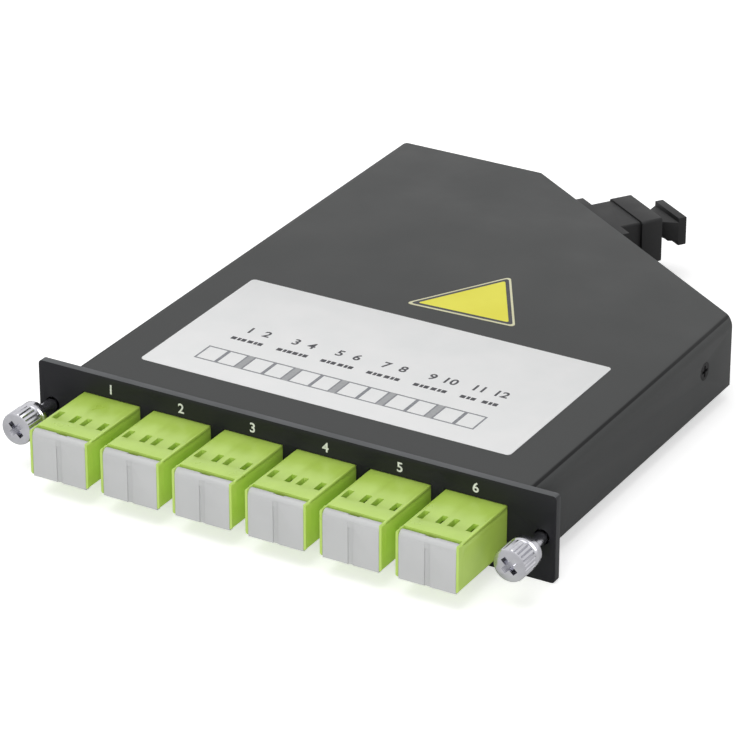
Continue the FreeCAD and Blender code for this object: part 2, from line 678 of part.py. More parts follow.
def port_outline(middle, inset="0"):
    """A square port with the narrower latch channel on top, drawn in by a gap."""
    wide = f"(port_width / 2 - {inset})"
    narrow = f"(latch_width / 2 - {inset})"
    floor = f"-port_floor + {inset}"
    shoulder = f"port_width - port_floor - {inset}"
    crown = f"latch_top - {inset}"
    return [
        (f"{middle} - {wide}", floor),
        (f"{middle} + {wide}", floor),
        (f"{middle} + {wide}", shoulder),
        (f"{middle} + {narrow}", shoulder),
        (f"{middle} + {narrow}", crown),
        (f"{middle} - {narrow}", crown),
        (f"{middle} - {narrow}", shoulder),
        (f"{middle} - {wide}", shoulder),
    ]


def make_adapter(index):
    """Moulded body with two ports right through, latch windows, wings and hinge ears."""
    body = new_body(f"lc_adapter_{index + 1}")
    pad(body, "XZ", "-adapter_front", "adapter_front + adapter_rear",
        centred("adapter_width", "adapter_height"))
    round_edges(body, "adapter_edge", lambda middle, along, edge: lengthwise(along))
    # room for the shutter's barrel between the two ears
    pocket(body, "XZ", "-adapter_front - overrun",
           "overrun - flap_gap + barrel_radius + barrel_gap", rectangle(
               "-adapter_width / 2 + ear_width", "adapter_width / 2 - ear_width",
               FLAP_SHOULDER, "adapter_height"))
    for side in ("-adapter_width / 2", "adapter_width / 2 - ear_width"):
        pad(body, "YZ", side, "ear_width", rectangle(
            HINGE_Y, "-adapter_front + join",
            f"{HINGE_Z} - ear_radius", f"{HINGE_Z} + ear_radius - ear_flat"))
        pad(body, "YZ", side, "ear_width", circle(HINGE_Y, HINGE_Z, "ear_radius"))
    cut_through(body, "YZ", "-adapter_width / 2", "adapter_width",
                circle(HINGE_Y, HINGE_Z, "pin_radius"))
    ports = [port_outline(f"port_pitch * {side}") for side in SIDES]
    cut_through(body, "XZ", "-adapter_front", "adapter_front + adapter_rear", *ports)
    windows = []
    for middle in ("-adapter_front + slot_setback", "adapter_rear - slot_setback"):
        for port in SIDES:
            for side in SIDES:
                across = f"port_pitch * {port} + slot_spacing * {side}"
                windows.append(centred("slot_width", "slot_length", across, middle))
    pocket(body, "XY", "window_floor", "adapter_height", *windows)
    for side in ("-adapter_width / 2 - wing_reach", "adapter_width / 2 - join"):
        pad(body, "YZ", side, "wing_reach + join", rectangle(
            WING_FRONT, f"{WING_FRONT} + wing_thick", "-wing_height / 2", "wing_height / 2"))
    # slot that takes the fixed leg of the shutter spring
    slot = "2 * wire_radius + 2 * leg_gap"
    pocket(body, "XY", f"{HINGE_Z} - leg_length - 2 * leg_gap", "leg_length",
           centred(slot, slot, "0", SPRING_LEG_Y))
    place(body, adapter_x(index), "0", "adapter_level")
    return keep(body)


def make_shutter(index):
    """Grey flap over both ports, with its hinge barrel along the top edge."""
    body = new_body(f"shutter_{index + 1}")
    inner = "adapter_width / 2 - ear_width - ear_gap"
    pad(body, "XZ", f"-{FLAP_BACK} - flap_thick", "flap_thick", rectangle(
        "-adapter_width / 2", "adapter_width / 2", "-adapter_height / 2 - flap_lip", FLAP_SHOULDER))
    front = size(f"-{FLAP_BACK} - flap_thick")
    round_edges(body, "flap_edge",
                lambda middle, along, edge: near(middle.y, front) and middle.z < 0)
    pad(body, "XZ", f"-{FLAP_BACK} - flap_thick", "flap_thick", rectangle(
        f"-({inner})", inner, f"{FLAP_SHOULDER} - join", HINGE_Z))
    pad(body, "YZ", f"-({inner})", f"2 * ({inner})", circle(HINGE_Y, HINGE_Z, "barrel_radius"))
    cut_through(body, "YZ", "-adapter_width / 2", "adapter_width",
                circle(HINGE_Y, HINGE_Z, "pin_radius + pin_play"))
    pocket(body, "XZ", f"-{FLAP_BACK} - flap_thick - overrun", "groove_depth + overrun", rectangle(
        "-groove_width / 2", "groove_width / 2", "-adapter_height", f"{HINGE_Z} - groove_stop"))
    # pocket for the spring, open to the rear
    room = "(coil_radius + coil_gap)"
    half = "(coil_length / 2 + coil_gap)"
    pocket(body, "YZ", f"-{half}", f"2 * {half}", circle(HINGE_Y, HINGE_Z, room))
    pocket(body, "YZ", f"-{half}", f"2 * {half}", rectangle(
        HINGE_Y, f"{HINGE_Y} + barrel_radius + overrun",
        f"{HINGE_Z} - {room}", f"{HINGE_Z} + barrel_radius + overrun"))
    place(body, adapter_x(index), "0", "adapter_level")
    return keep(body)


def make_hinge_pins():
    pins = []
    for index in range(ADAPTERS):
        pin = doc.addObject("Part::Cylinder", f"pin_{index + 1}")
        bind(pin, Radius="pin_radius", Height="adapter_width - 2 * pin_recess")
        bind(pin, Placement=(
            f"placement(vector({adapter_x(index)} - adapter_width / 2 + pin_recess; {HINGE_Y}; "
            f"adapter_level + {HINGE_Z}); rotation(vector(0; 1; 0); 90 * 1deg))"))
        pins.append(pin)
    return group("shutter_pins", pins)


def make_shutter_springs():
    springs = []
    for index in range(ADAPTERS):
        body = new_body(f"spring_{index + 1}")
        pad(body, "YZ", "-coil_length / 2", "coil_length",
            circle(HINGE_Y, HINGE_Z, "coil_radius"),
            circle(HINGE_Y, HINGE_Z, "pin_radius + pin_play"))
        pad(body, "XY", f"{HINGE_Z} - leg_length", "leg_length",
            circle("0", SPRING_LEG_Y, "wire_radius"))
        place(body, adapter_x(index), "0", "adapter_level")
        springs.append(body)
    return group("shutter_springs", springs)


def make_sleeve_holders():
    """Mouldings welded in the ports: a web between front and rear, and a tube through it."""
    holders = []
    for index in range(PORTS):
        body = new_body(f"holder_{index + 1}")
        pad(body, "XZ", f"{MIDDLE_Y} - divider_thick / 2", "divider_thick",
            port_outline("0", "divider_gap"))
        pad(body, "XZ", f"{MIDDLE_Y} - holder_length / 2", "holder_length",
            circle("0", PORT_Z, "holder_radius"))
        cut_through(body, "XZ", f"{MIDDLE_Y} - holder_length / 2", "holder_length",
                    circle("0", PORT_Z, "sleeve_radius + fit_gap"))
        place(body, port_x(index), "0", "adapter_level")
        holders.append(body)
    return group("sleeve_holders", holders)


def make_alignment_sleeves():
    sleeves = []
    for index in range(PORTS):
        outer = doc.addObject("Part::Cylinder", f"sleeve_outside_{index + 1}")
        bore = doc.addObject("Part::Cylinder", f"sleeve_bore_{index + 1}")
        bind(outer, Radius="sleeve_radius", Height="sleeve_length")
        bind(bore, Radius="ferrule_radius + fit_gap", Height="sleeve_length")
        sleeve = doc.addObject("Part::Cut", f"sleeve_{index + 1}")
        sleeve.Base = outer
        sleeve.Tool = bore
        bind(sleeve, Placement=(
            f"placement(vector({port_x(index)}; {MIDDLE_Y} + sleeve_length / 2; "
            f"adapter_level + {PORT_Z}); rotation(vector(1; 0; 0); 90 * 1deg))"))
        sleeves.append(sleeve)
    return group("alignment_sleeves", sleeves)


def make_lc_plug(index):
    """Inner plug in the rear port: square body, ferrule, latch arm and tapered boot."""
    body = new_body(f"lc_plug_{index + 1}")
    nose = f"({MIDDLE_Y} + holder_length / 2 + lc_nose_gap)"
    tail = "(adapter_rear + lc_tail)"
    pad(body, "XZ", nose, f"{tail} - {nose}", centred("lc_width", "lc_width"))
    pad(body, "XZ", f"{MIDDLE_Y} + ferrule_gap", f"{nose} - {MIDDLE_Y}",
        circle("0", "0", "ferrule_radius"))
    root = "lc_width / 2 - join"
    top = "lc_width / 2"
    pad(body, "YZ", "-lc_arm_width / 2", "lc_arm_width", [
        (f"{nose} + lc_nose_setback", root),
        (f"{nose} + lc_arm_length - lc_arm_rise", root),
        (f"{nose} + lc_arm_length", f"{top} + lc_arm_rise - lc_arm_thick"),
        (f"{nose} + lc_arm_length", f"{top} + lc_arm_rise"),
        (f"{nose} + lc_ramp + 2 * lc_catch", f"{top} + 2 * lc_arm_thick"),
        (f"{nose} + lc_ramp + lc_catch", f"{top} + lc_catch_height"),
        (f"{nose} + lc_ramp", f"{top} + lc_catch_height"),
    ])
    boot = body.newObject("PartDesign::AdditiveCone", "boot")
    bind(boot, Radius1="lc_boot_radius", Radius2="tube_radius + lc_boot_wall", Height="lc_boot")
    bind(boot, Placement=f"placement(vector(0; {tail}; 0); rotation(vector(1; 0; 0); -90 * 1deg))")
    doc.recompute()
    pocket(body, "XZ", f"{tail} + lc_boot / 2", "lc_boot", circle("0", "0", "tube_radius"))
    place(body, port_x(index), "0", f"adapter_level + {PORT_Z}")
    return keep(body)


# ---- rear adapter on the slanted wall ------------------------------------------------

def make_mpo_adapter():
    body = new_body("mpo_adapter")
    pad(body, "XZ", "-mpo_in", "mpo_in + mpo_out", centred("mpo_width", "mpo_height"))
    round_edges(body, "adapter_edge", lambda middle, along, edge: lengthwise(along))
    pad(body, "XZ", "0", "mpo_flange_thick", centred("mpo_flange", "mpo_height"))
    port = centred("mpo_port_width", "mpo_port_height")
    key = rectangle("-mpo_key_width / 2", "mpo_key_width / 2",
                    "mpo_port_height / 2 - join", "mpo_port_height / 2 + mpo_key_depth")
    outer_depth = f"mpo_out - {MPO_WEB_FRONT} + overrun"
    inner_depth = f"mpo_in + {MPO_WEB_BACK} + overrun"
    pocket(body, "XZ", MPO_WEB_FRONT, outer_depth, port)
    pocket(body, "XZ", f"{MPO_WEB_FRONT} + mpo_key_setback", outer_depth, key)
    pocket(body, "XZ", "-mpo_in - overrun", inner_depth, port)
    pocket(body, "XZ", "-mpo_in - overrun", f"{inner_depth} - overrun", key)
    cut_through(body, "XZ", MPO_WEB_BACK, "mpo_web",
                centred("mt_width + 4 * plug_gap", "mt_height + 4 * plug_gap"))
    cut_through(body, "XZ", "0", "mpo_flange_thick",
                circle("-mpo_screw_spacing / 2", "0", "mpo_screw_radius + plug_gap"),
                circle("mpo_screw_spacing / 2", "0", "mpo_screw_radius + plug_gap"))
    place_on_slant(body)
    return keep(body)


def make_mpo_screws():
    screws = []
    tip = "(-sheet_thick - mpo_screw_end)"
    for index, side in enumerate(SIDES, 1):
        body = new_body(f"mpo_screw_{index}")
        turned(body, [
            ("0", tip),
            ("mpo_screw_radius - mpo_screw_bevel", tip),
            ("mpo_screw_radius", f"{tip} + mpo_screw_bevel"),
            ("mpo_screw_radius", "mpo_flange_thick"),
            ("mpo_head_radius", "mpo_flange_thick"),
            ("mpo_head_radius", "mpo_flange_thick + mpo_head_thick * mpo_head_side"),
            ("mpo_head_radius * mpo_head_top", "mpo_flange_thick + mpo_head_thick"),
            ("0", "mpo_flange_thick + mpo_head_thick"),
        ])
        pocket(body, "XZ", "mpo_flange_thick + mpo_head_thick * mpo_recess_floor", "mpo_head_thick",
               cross_outline("mpo_head_radius", "mpo_head_radius / 4"))
        offset = f"mpo_screw_spacing * {side}"
        bind(body, Placement=(
            f"placement(vector({MPO_X} + {offset} * cos(slant_angle * 1deg); "
            f"{MPO_Y} - {offset} * sin(slant_angle * 1deg); mpo_level); "
            "rotation(vector(0; 0; 1); -slant_angle * 1deg))"))
        screws.append(body)
    return group("mpo_screws", screws)


def cross_outline(span, slot):
    """Outline of a cross recess: its arms' full span and width."""
    far = f"({span}) / 2"
    close = f"({slot}) / 2"
    corners = []
    for across, up in ((1, 1), (-1, 1), (-1, -1), (1, -1)):
        first = (f"{across} * {close}", f"{up} * {far}")
        second = (f"{across} * {close}", f"{up} * {close}")
        third = (f"{across} * {far}", f"{up} * {close}")
        corners += [third, second, first] if across * up > 0 else [first, second, third]
    return corners


def make_dust_cap():
    """Cap with a hollow plug in the port, a block outside and a cross bar to pull."""
    body = new_body("dust_cap")
    base = "(mpo_out + plug_gap)"
    head = f"({base} + cap_length)"
    bar = f"({head} + pull_reach - pull_thick)"
    pad(body, "XZ", base, "cap_length", centred("cap_width", "cap_height"))
    round_edges(body, "cap_edge", lambda middle, along, edge: lengthwise(along))
    pad(body, "XZ", f"{base} - cap_plug", "cap_plug + join",
        centred("mpo_port_width - 2 * plug_gap", "mpo_port_height - 2 * plug_gap"))
    wall = "(plug_gap + cap_wall)"
    cut_through(body, "XZ", f"{base} - cap_plug", "cap_plug",
                centred(f"mpo_port_width - 2 * {wall}", f"mpo_port_height - 2 * {wall}"))
    # neck that widens into the cross bar, seen from above
    neck = [
        ("-pull_neck / 2", f"{head} - join"),
        ("pull_neck / 2", f"{head} - join"),
        ("pull_neck / 2", f"{bar} - pull_flare"),
        ("pull_width / 2", bar),
        ("-pull_width / 2", bar),
        ("-pull_neck / 2", f"{bar} - pull_flare"),
    ]
    pad(body, "XY", "-pull_neck_height / 2", "pull_neck_height", neck)
    pad(body, "XZ", bar, "pull_thick", centred("pull_width", "pull_height"))
    far = size(f"{bar} + pull_thick")
    round_edges(body, "pull_edge", lambda middle, along, edge: near(middle.y, far))
    # finger groove across the underside of the neck
    cut_through(body, "YZ", "-pull_width / 2", "pull_width", circle(
        f"{head} + finger_place", "-pull_neck_height / 2 + finger_depth - finger_radius",
        "finger_radius"))
    place_on_slant(body)
    return keep(body)


def make_mpo_plug():
    """Inner plug: rectangular ferrule, keyed nose and grip housing."""
    body = new_body("mpo_plug")
    nose = f"({MPO_WEB_BACK} - plug_gap)"
    pad(body, "XZ", PLUG_BACK, f"{nose} - {PLUG_BACK}",
        centred("mpo_port_width - 2 * plug_gap", "mpo_port_height - 2 * plug_gap"))
    pad(body, "XZ", PLUG_BACK, f"{nose} - {PLUG_BACK} - key_setback", rectangle(
        "-mpo_key_width / 2 + plug_gap", "mpo_key_width / 2 - plug_gap",
        "0", "mpo_port_height / 2 + mpo_key_depth - plug_gap"))
    pad(body, "XZ", f"{nose} - join", "join + plug_gap + mpo_web + mt_proud",
        centred("mt_width", "mt_height"))
    pad(body, "XZ", f"{PLUG_BACK} - plug_length", "plug_length",
        centred("plug_width", "plug_height"))
    side = size("plug_width / 2")
    round_edges(body, "plug_edge",
                lambda middle, along, edge: lengthwise(along) and near(abs(middle.x), side))
    grip = pocket(body, "XZ", f"{PLUG_BACK} - plug_length + grip_setback", "grip_width", rectangle(
        "-plug_width", "plug_width", "plug_height / 2 - grip_depth", "plug_height"))
    row_of(body, grip, "Y", "grip_run", 4)
    place_on_slant(body)
    return keep(body)


def make_fanout_boot():
    """Tapered boot that spreads the twelve fibres into single tubes."""
    body = new_body("fanout_boot")
    start = f"({PLUG_BACK} - plug_length)"
    mouth = centred("fanout_width", "fanout_height", "0", TUBE_DROP)
    loft = body.newObject("PartDesign::AdditiveLoft", "loft")
    loft.Profile = sketch_on(body, "XZ", start, [
        centred("plug_width - 2 * plug_edge", "plug_height - 2 * plug_edge")])
    loft.Sections = [sketch_on(body, "XZ", FANOUT_BACK, [mouth])]
    loft.Ruled = True
    doc.recompute()
    first = f"tube_pitch * {(1 - PORTS) / 2}"
    hole = pocket(body, "XZ", f"{FANOUT_BACK} - overrun", "overrun + tube_seat",
                  circle(first, TUBE_DROP, "tube_radius"))
    row_of(body, hole, "X", f"tube_pitch * {PORTS - 1}", PORTS)
    place_on_slant(body)
    return keep(body)


def swept_turn(radius, start, end):
    """Travel along an arc whose heading goes from start to end, in radians."""
    side = 1 if end > start else -1
    return Vector(
        side * radius * (math.sin(end) - math.sin(start)),
        side * radius * (math.cos(start) - math.cos(end)), 0,
    )


def arc_between(place, radius, start, end):
    """Arc from a place, turning from one heading to another."""
    half = (start + end) / 2
    middle = place + swept_turn(radius, start, half)
    return Part.Arc(place, middle, place + swept_turn(radius, start, end)).toShape()


def tube_path(index):
    """Plan route of one tube: out of the boot, a bend, a straight, a bend, into its plug."""
    slant = math.radians(size("slant_angle"))
    outward = Vector(math.sin(slant), math.cos(slant), 0)
    along = Vector(math.cos(slant), -math.sin(slant), 0)
    centre = Vector(size(MPO_X), size(MPO_Y), size(f"adapter_level + {PORT_Z}"))
    shift = size(f"tube_pitch * {index - (PORTS - 1) / 2}")
    mouth = centre + outward * size(FANOUT_BACK) + along * shift
    seat = mouth + outward * size("tube_seat")
    first_radius = size("tube_bend") - shift
    last_radius = size("tube_bend")
    boot_end = size("adapter_rear + lc_tail + lc_boot")
    goal = Vector(size(port_x(index)), boot_end + size("tube_lead"), mouth.z)
    stop = Vector(goal.x, boot_end - size("lc_boot / 2"), mouth.z)
    leave = math.atan2(-outward.y, -outward.x)
    arrive = -math.pi / 2

    def miss(heading):
        """How far the straight stretch passes beside its end, for a given heading."""
        rest = goal - mouth - swept_turn(first_radius, leave, heading)
        rest -= swept_turn(last_radius, heading, arrive)
        return rest.x * math.sin(heading) - rest.y * math.cos(heading)

    low, high = leave + 1e-6, -1e-3
    for step in range(60):
        middle = (low + high) / 2
        if (miss(low) > 0) == (miss(middle) > 0):
            low = middle
        else:
            high = middle
    first_end = mouth + swept_turn(first_radius, leave, low)
    last_start = goal - swept_turn(last_radius, low, arrive)
    return Part.Wire([
        Part.LineSegment(seat, mouth).toShape(),
        arc_between(mouth, first_radius, leave, low),
        Part.LineSegment(first_end, last_start).toShape(),
        arc_between(last_start, last_radius, low, arrive),
        Part.LineSegment(goal, stop).toShape(),
    ])


def make_fibre_tube(index):
    """Round tube swept along its route, all at the plugs' level."""
    path = tube_path(index)
    start = path.Vertexes[0].Point
    heading = path.Edges[0].tangentAt(path.Edges[0].FirstParameter)
    radius = size("tube_radius")
    ring = Part.Wire([Part.Circle(start, heading, radius).toShape()])
    tube = doc.addObject("Part::Feature", f"fibre_tube_{index + 1}")
    tube.Label = tube.Name
    tube.Shape = path.makePipeShell([ring], True, False)
    expected = math.pi * radius ** 2 * path.Length
    share = tube.Shape.Volume / expected
    print(f"{tube.Label}: {path.Length:.1f} mm long, {share:.4f} of its section x length")
    return keep(tube)


# ---- captive screws, cover screws and rivets -----------------------------------------

def make_captive_screw(name, side):
    """Knurled head, plain shank through the plate, ring groove and thread at the tip."""
    body = new_body(name)
    front = f"({HEAD_BACK} - head_length)"
    groove = f"({front} + head_length * knurl_part)"
    collar = "head_radius - collar_step"
    ring = "(ring_gap - ring_play)"
    ring_end = "(ring_gap + ring_thick + ring_play)"
    turned(body, [
        ("0", front),
        ("head_radius - head_bevel", front),
        ("head_radius", f"{front} + head_bevel"),
        ("head_radius", f"{groove} - neck_depth"),
        ("head_radius - neck_depth", groove),
        ("head_radius - neck_depth", f"{groove} + neck_width"),
        (collar, f"{groove} + neck_width + neck_depth / 2"),
        (collar, f"{HEAD_BACK} - head_bevel"),
        (f"{collar} - head_bevel", HEAD_BACK),
        ("shank_radius", HEAD_BACK),
        ("shank_radius", ring),
        ("screw_radius - ring_bite", ring),
        ("screw_radius - ring_bite", ring_end),
        ("screw_radius", ring_end),
        ("screw_radius", "screw_tip - tip_bevel"),
        ("screw_radius - tip_bevel", "screw_tip"),
        ("0", "screw_tip"),
    ])
    pocket(body, "XZ", f"{front} - overrun", "recess_depth + overrun",
           cross_outline("recess_span", "recess_slot"))
    flute = pocket(body, "XZ", f"{front} - overrun", f"{groove} - {front} + overrun", [
        ("-2 * knurl_depth", "head_radius + knurl_depth"),
        ("0", "head_radius - knurl_depth"),
        ("2 * knurl_depth", "head_radius + knurl_depth"),
    ])
    ring_of(body, flute, "Y", KNURLS)
    place(body, f"{side} * screw_offset", "0", "screw_level")
    return keep(body)


def make_screw_ring(name, side):
    body = new_body(name)
    pad(body, "XZ", "ring_gap", "ring_thick",
        circle("0", "0", "ring_radius"),
        circle("0", "0", "screw_radius - ring_bite + ring_play"))
    place(body, f"{side} * screw_offset", "0", "screw_level")
    return keep(body)


def make_cover_screws():
    """Countersunk screws through the cover's side walls into the tray."""
    screws = []
    radius = "(cover_screw_radius - cover_screw_play)"
    outline = [
        ("0", "0"),
        (f"{radius} + countersink_depth", "0"),
        (radius, "countersink_depth"),
        (radius, "cover_screw_length - cover_screw_bevel"),
        (f"{radius} - cover_screw_bevel", "cover_screw_length"),
        ("0", "cover_screw_length"),
    ]
    sides = (
        ("right", "housing_right", RIGHT_SCREW_Y, 90),
        ("left", "-housing_left", LEFT_SCREW_Y, -90),
    )
    for name, across, along, turn in sides:
        body = new_body(f"cover_screw_{name}")
        turned(body, outline)
        pocket(body, "XZ", "-overrun", "overrun + cover_recess_depth",
               cross_outline("cover_recess_span", "cover_recess_slot"))
        bind(body, Placement=(
            f"placement(vector({across}; {along}; cover_screw_level); "
            f"rotation(vector(0; 0; 1); {turn} * 1deg))"))
        screws.append(body)
    return group("cover_screws", screws)


def make_plate_rivets():
    """Flush rivets that hold the tray's front wall to the plate."""
    rivets = []
    for index, across in enumerate(rivet_places(), 1):
        body = new_body(f"rivet_{index}")
        turned(body, [
            ("0", "-plate_thick"),
            ("rivet_head", "-plate_thick"),
            ("rivet_radius", "-plate_thick + rivet_head - rivet_radius"),
            ("rivet_radius", "sheet_thick"),
            ("rivet_head", "sheet_thick"),
            ("rivet_head - rivet_closing_bevel", "sheet_thick + rivet_closing"),
            ("0", "sheet_thick + rivet_closing"),
        ])
        place(body, across, "0", "rivet_level")
        rivets.append(body)
    return group("plate_rivets", rivets)


# ---- build, check and write ----------------------------------------------------------

def build():
    make_front_plate()
    make_base_tray()
    make_top_cover()
    make_adapter_comb()
    for index in range(ADAPTERS):
        make_adapter(index)
        make_shutter(index)
    make_hinge_pins()
    make_shutter_springs()
    make_sleeve_holders()
    make_alignment_sleeves()
    for index in range(PORTS):
        make_lc_plug(index)
    make_mpo_adapter()
    make_mpo_screws()
    make_dust_cap()
    make_mpo_plug()
    make_fanout_boot()
    for index in range(PORTS):
        make_fibre_tube(index)
    for name, side in (("left", -1), ("right", 1)):
        make_captive_screw(f"captive_screw_{name}", side)
        make_screw_ring(f"screw_ring_{name}", side)
    make_cover_screws()
    make_plate_rivets()
    doc.recompute()


def check_and_write():
    for item in doc.Objects:
        if "Invalid" in item.State or "Error" in item.State:
            raise ValueError(f"{item.Name} failed: {item.State}")
    for name, item in nodes.items():
        if item.Shape.isNull() or not item.Shape.isValid():
            raise ValueError(f"{name} has no valid shape")
    os.makedirs("parts", exist_ok=True)
    for name, item in nodes.items():
        item.Shape.exportStep(f"parts/{name}.step")
        print(f"{name}: {len(item.Shape.Solids)} solid(s), {item.Shape.Volume:.1f} mm3")


build()
check_and_write()
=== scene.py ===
import json
import math

import bpy
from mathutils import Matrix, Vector

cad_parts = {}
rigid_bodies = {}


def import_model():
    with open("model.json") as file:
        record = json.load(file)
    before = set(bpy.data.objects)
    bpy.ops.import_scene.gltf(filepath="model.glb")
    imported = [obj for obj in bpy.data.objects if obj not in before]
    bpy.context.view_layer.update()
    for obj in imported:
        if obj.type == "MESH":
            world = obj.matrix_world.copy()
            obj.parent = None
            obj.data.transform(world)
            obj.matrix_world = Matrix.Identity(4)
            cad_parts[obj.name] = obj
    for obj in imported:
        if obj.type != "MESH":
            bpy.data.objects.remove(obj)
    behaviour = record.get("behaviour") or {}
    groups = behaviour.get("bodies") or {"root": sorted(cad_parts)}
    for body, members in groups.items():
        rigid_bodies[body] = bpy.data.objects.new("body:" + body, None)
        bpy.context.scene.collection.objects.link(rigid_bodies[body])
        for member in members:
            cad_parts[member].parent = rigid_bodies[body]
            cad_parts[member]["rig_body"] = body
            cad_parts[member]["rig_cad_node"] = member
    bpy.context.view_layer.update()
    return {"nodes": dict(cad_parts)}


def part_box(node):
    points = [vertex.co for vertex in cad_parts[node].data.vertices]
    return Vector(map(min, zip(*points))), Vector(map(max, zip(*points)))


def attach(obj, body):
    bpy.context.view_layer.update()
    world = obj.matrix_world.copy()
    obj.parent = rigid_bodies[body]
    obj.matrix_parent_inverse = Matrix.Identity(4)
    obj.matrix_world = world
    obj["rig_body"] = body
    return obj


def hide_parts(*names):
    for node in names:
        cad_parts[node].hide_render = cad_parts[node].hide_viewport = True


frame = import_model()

mm = 0.001  # everything below is in metres, most sizes are written in mm


# small helpers: colours, nodes, selecting and editing

def hexColour(code):
    channels = []
    for start in (0, 2, 4):
        value = int(code[start:start + 2], 16) / 255
        channels.append(value / 12.92 if value <= 0.04045 else ((value + 0.055) / 1.055) ** 2.4)
    return (*channels, 1.0)


def addNode(tree, kind, settings=None, links=None):
    node = tree.nodes.new(kind)
    for name, value in (settings or {}).items():
        if isinstance(name, str) and hasattr(node, name):
            setattr(node, name, value)
        else:
            node.inputs[name].default_value = value
    for name, source in (links or {}).items():
        tree.links.new(source, node.inputs[name])
    return node


def deselectAll():
    if bpy.context.object and bpy.context.object.mode != "OBJECT":
        bpy.ops.object.mode_set(mode="OBJECT")
    bpy.ops.object.select_all(action="DESELECT")


def pickOnly(piece):
    deselectAll()
    piece.select_set(True)
    bpy.context.view_layer.objects.active = piece


def editWhere(piece, kind, test):
    pickOnly(piece)
    bpy.ops.object.mode_set(mode="EDIT")
    bpy.ops.mesh.select_mode(type=kind)
    bpy.ops.mesh.select_all(action="DESELECT")
    bpy.ops.object.mode_set(mode="OBJECT")
    mesh = piece.data
    if kind == "FACE":
        for face in mesh.polygons:
            face.select = test(face.center, face.normal)
    elif kind == "VERT":
        for vertex in mesh.vertices:
            vertex.select = test(vertex.co, vertex.normal)
    else:
        for edge in mesh.edges:
            ends = [mesh.vertices[index].co for index in edge.vertices]
            edge.select = test((ends[0] + ends[1]) / 2, ends[1] - ends[0])
    bpy.ops.object.mode_set(mode="EDIT")


def applyPlace(piece):
    pickOnly(piece)
    bpy.ops.object.transform_apply(location=True, rotation=True, scale=True)


def addModifier(piece, kind, **settings):
    pickOnly(piece)
    modifier = piece.modifiers.new(kind.lower(), kind)
    for name, value in settings.items():
        setattr(modifier, name, value)
    bpy.ops.object.modifier_apply(modifier=modifier.name)


def smoothByAngle(piece, degrees=35):
    pickOnly(piece)
    bpy.ops.object.shade_smooth_by_angle(angle=math.radians(degrees))


welding = {"distance": 0.001, "flatAngle": 0.5}


def outwards(piece):
    editWhere(piece, "FACE", lambda middle, normal: True)
    bpy.ops.mesh.remove_doubles(threshold=welding["distance"] * mm)
    bpy.ops.mesh.normals_make_consistent(inside=False)
    deselectAll()


# welds doubled corners and merges faces that lie in one plane
def mergeFlat(piece, distance):
    editWhere(piece, "FACE", lambda middle, normal: True)
    bpy.ops.mesh.remove_doubles(threshold=distance * mm)
    bpy.ops.mesh.dissolve_limited(angle_limit=math.radians(welding["flatAngle"]))
    deselectAll()


def finishPiece(piece, name, material, body, replaced=()):
    piece.name = name
    piece.data.name = name
    if material:
        piece.data.materials.clear()
        piece.data.materials.append(material)
    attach(piece, body)
    if replaced:
        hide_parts(*replaced)
    return piece


def copyOf(piece, shift):
    pickOnly(piece)
    bpy.ops.object.duplicate()
    twin = bpy.context.object
    bpy.ops.object.parent_clear(type="CLEAR_KEEP_TRANSFORM")
    twin.location = shift
    applyPlace(twin)
    return twin


softening = {"segments": 2, "edgeAngle": 32, "shadeAngle": 30}


# a CAD node's shape with its moulded or blanked edges softened
def softened(node, width, reshape=None):
    pickOnly(frame["nodes"][node])
    bpy.ops.object.duplicate()
    piece = bpy.context.object
    bpy.ops.object.parent_clear(type="CLEAR_KEEP_TRANSFORM")
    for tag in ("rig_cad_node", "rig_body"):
        if tag in piece:
            del piece[tag]
    mergeFlat(piece, welding["distance"])
    if reshape:
        reshape(piece)
    addModifier(piece, "BEVEL", width=width * mm, segments=softening["segments"], limit_method="ANGLE",
                angle_limit=math.radians(softening["edgeAngle"]), use_clamp_overlap=True,
                harden_normals=False)
    smoothByAngle(piece, softening["shadeAngle"])
    return piece


print("materials")

# materials, each from what the real one is made of


def startMaterial(name, colour, roughness, metallic=0.0, ior=1.5):
    material = bpy.data.materials.new(name)
    material.use_nodes = True
    tree = material.node_tree
    tree.nodes.clear()
    output = addNode(tree, "ShaderNodeOutputMaterial")
    shader = addNode(tree, "ShaderNodeBsdfPrincipled", {
        "Base Color": hexColour(colour), "Roughness": roughness, "Metallic": metallic, "IOR": ior})
    tree.links.new(shader.outputs["BSDF"], output.inputs["Surface"])
    places = addNode(tree, "ShaderNodeTexCoord").outputs["Object"]
    return material, tree, shader, places


# clouds of a second colour, spread mm across; their pattern is handed on for the roughness
def mottle(tree, shader, places, colour, other, spread):
    noise = addNode(tree, "ShaderNodeTexNoise", {"Scale": 1 / (spread * mm), "Detail": 3.0},
                    {"Vector": places})
    ramp = addNode(tree, "ShaderNodeMapRange", {"From Min": 0.3, "From Max": 0.7},
                   {"Value": noise.outputs["Fac"]})
    mix = addNode(tree, "ShaderNodeMix", {"data_type": "RGBA", 6: hexColour(colour), 7: hexColour(other)},
                  {0: ramp.outputs["Result"]})
    tree.links.new(mix.outputs[2], shader.inputs["Base Color"])
    return ramp.outputs["Result"]


def grain(tree, shader, places, size, height, strength):
    noise = addNode(tree, "ShaderNodeTexNoise", {"Scale": 1 / (size * mm), "Detail": 2.0, "Roughness": 0.6},
                    {"Vector": places})
    bump = addNode(tree, "ShaderNodeBump", {"Distance": height * mm, "Strength": strength},
                   {"Height": noise.outputs["Fac"]})
    tree.links.new(bump.outputs["Normal"], shader.inputs["Normal"])


def varyRoughness(tree, shader, source, least, most):
    span = addNode(tree, "ShaderNodeMapRange", {"To Min": least, "To Max": most}, {"Value": source})
    tree.links.new(span.outputs["Result"], shader.inputs["Roughness"])


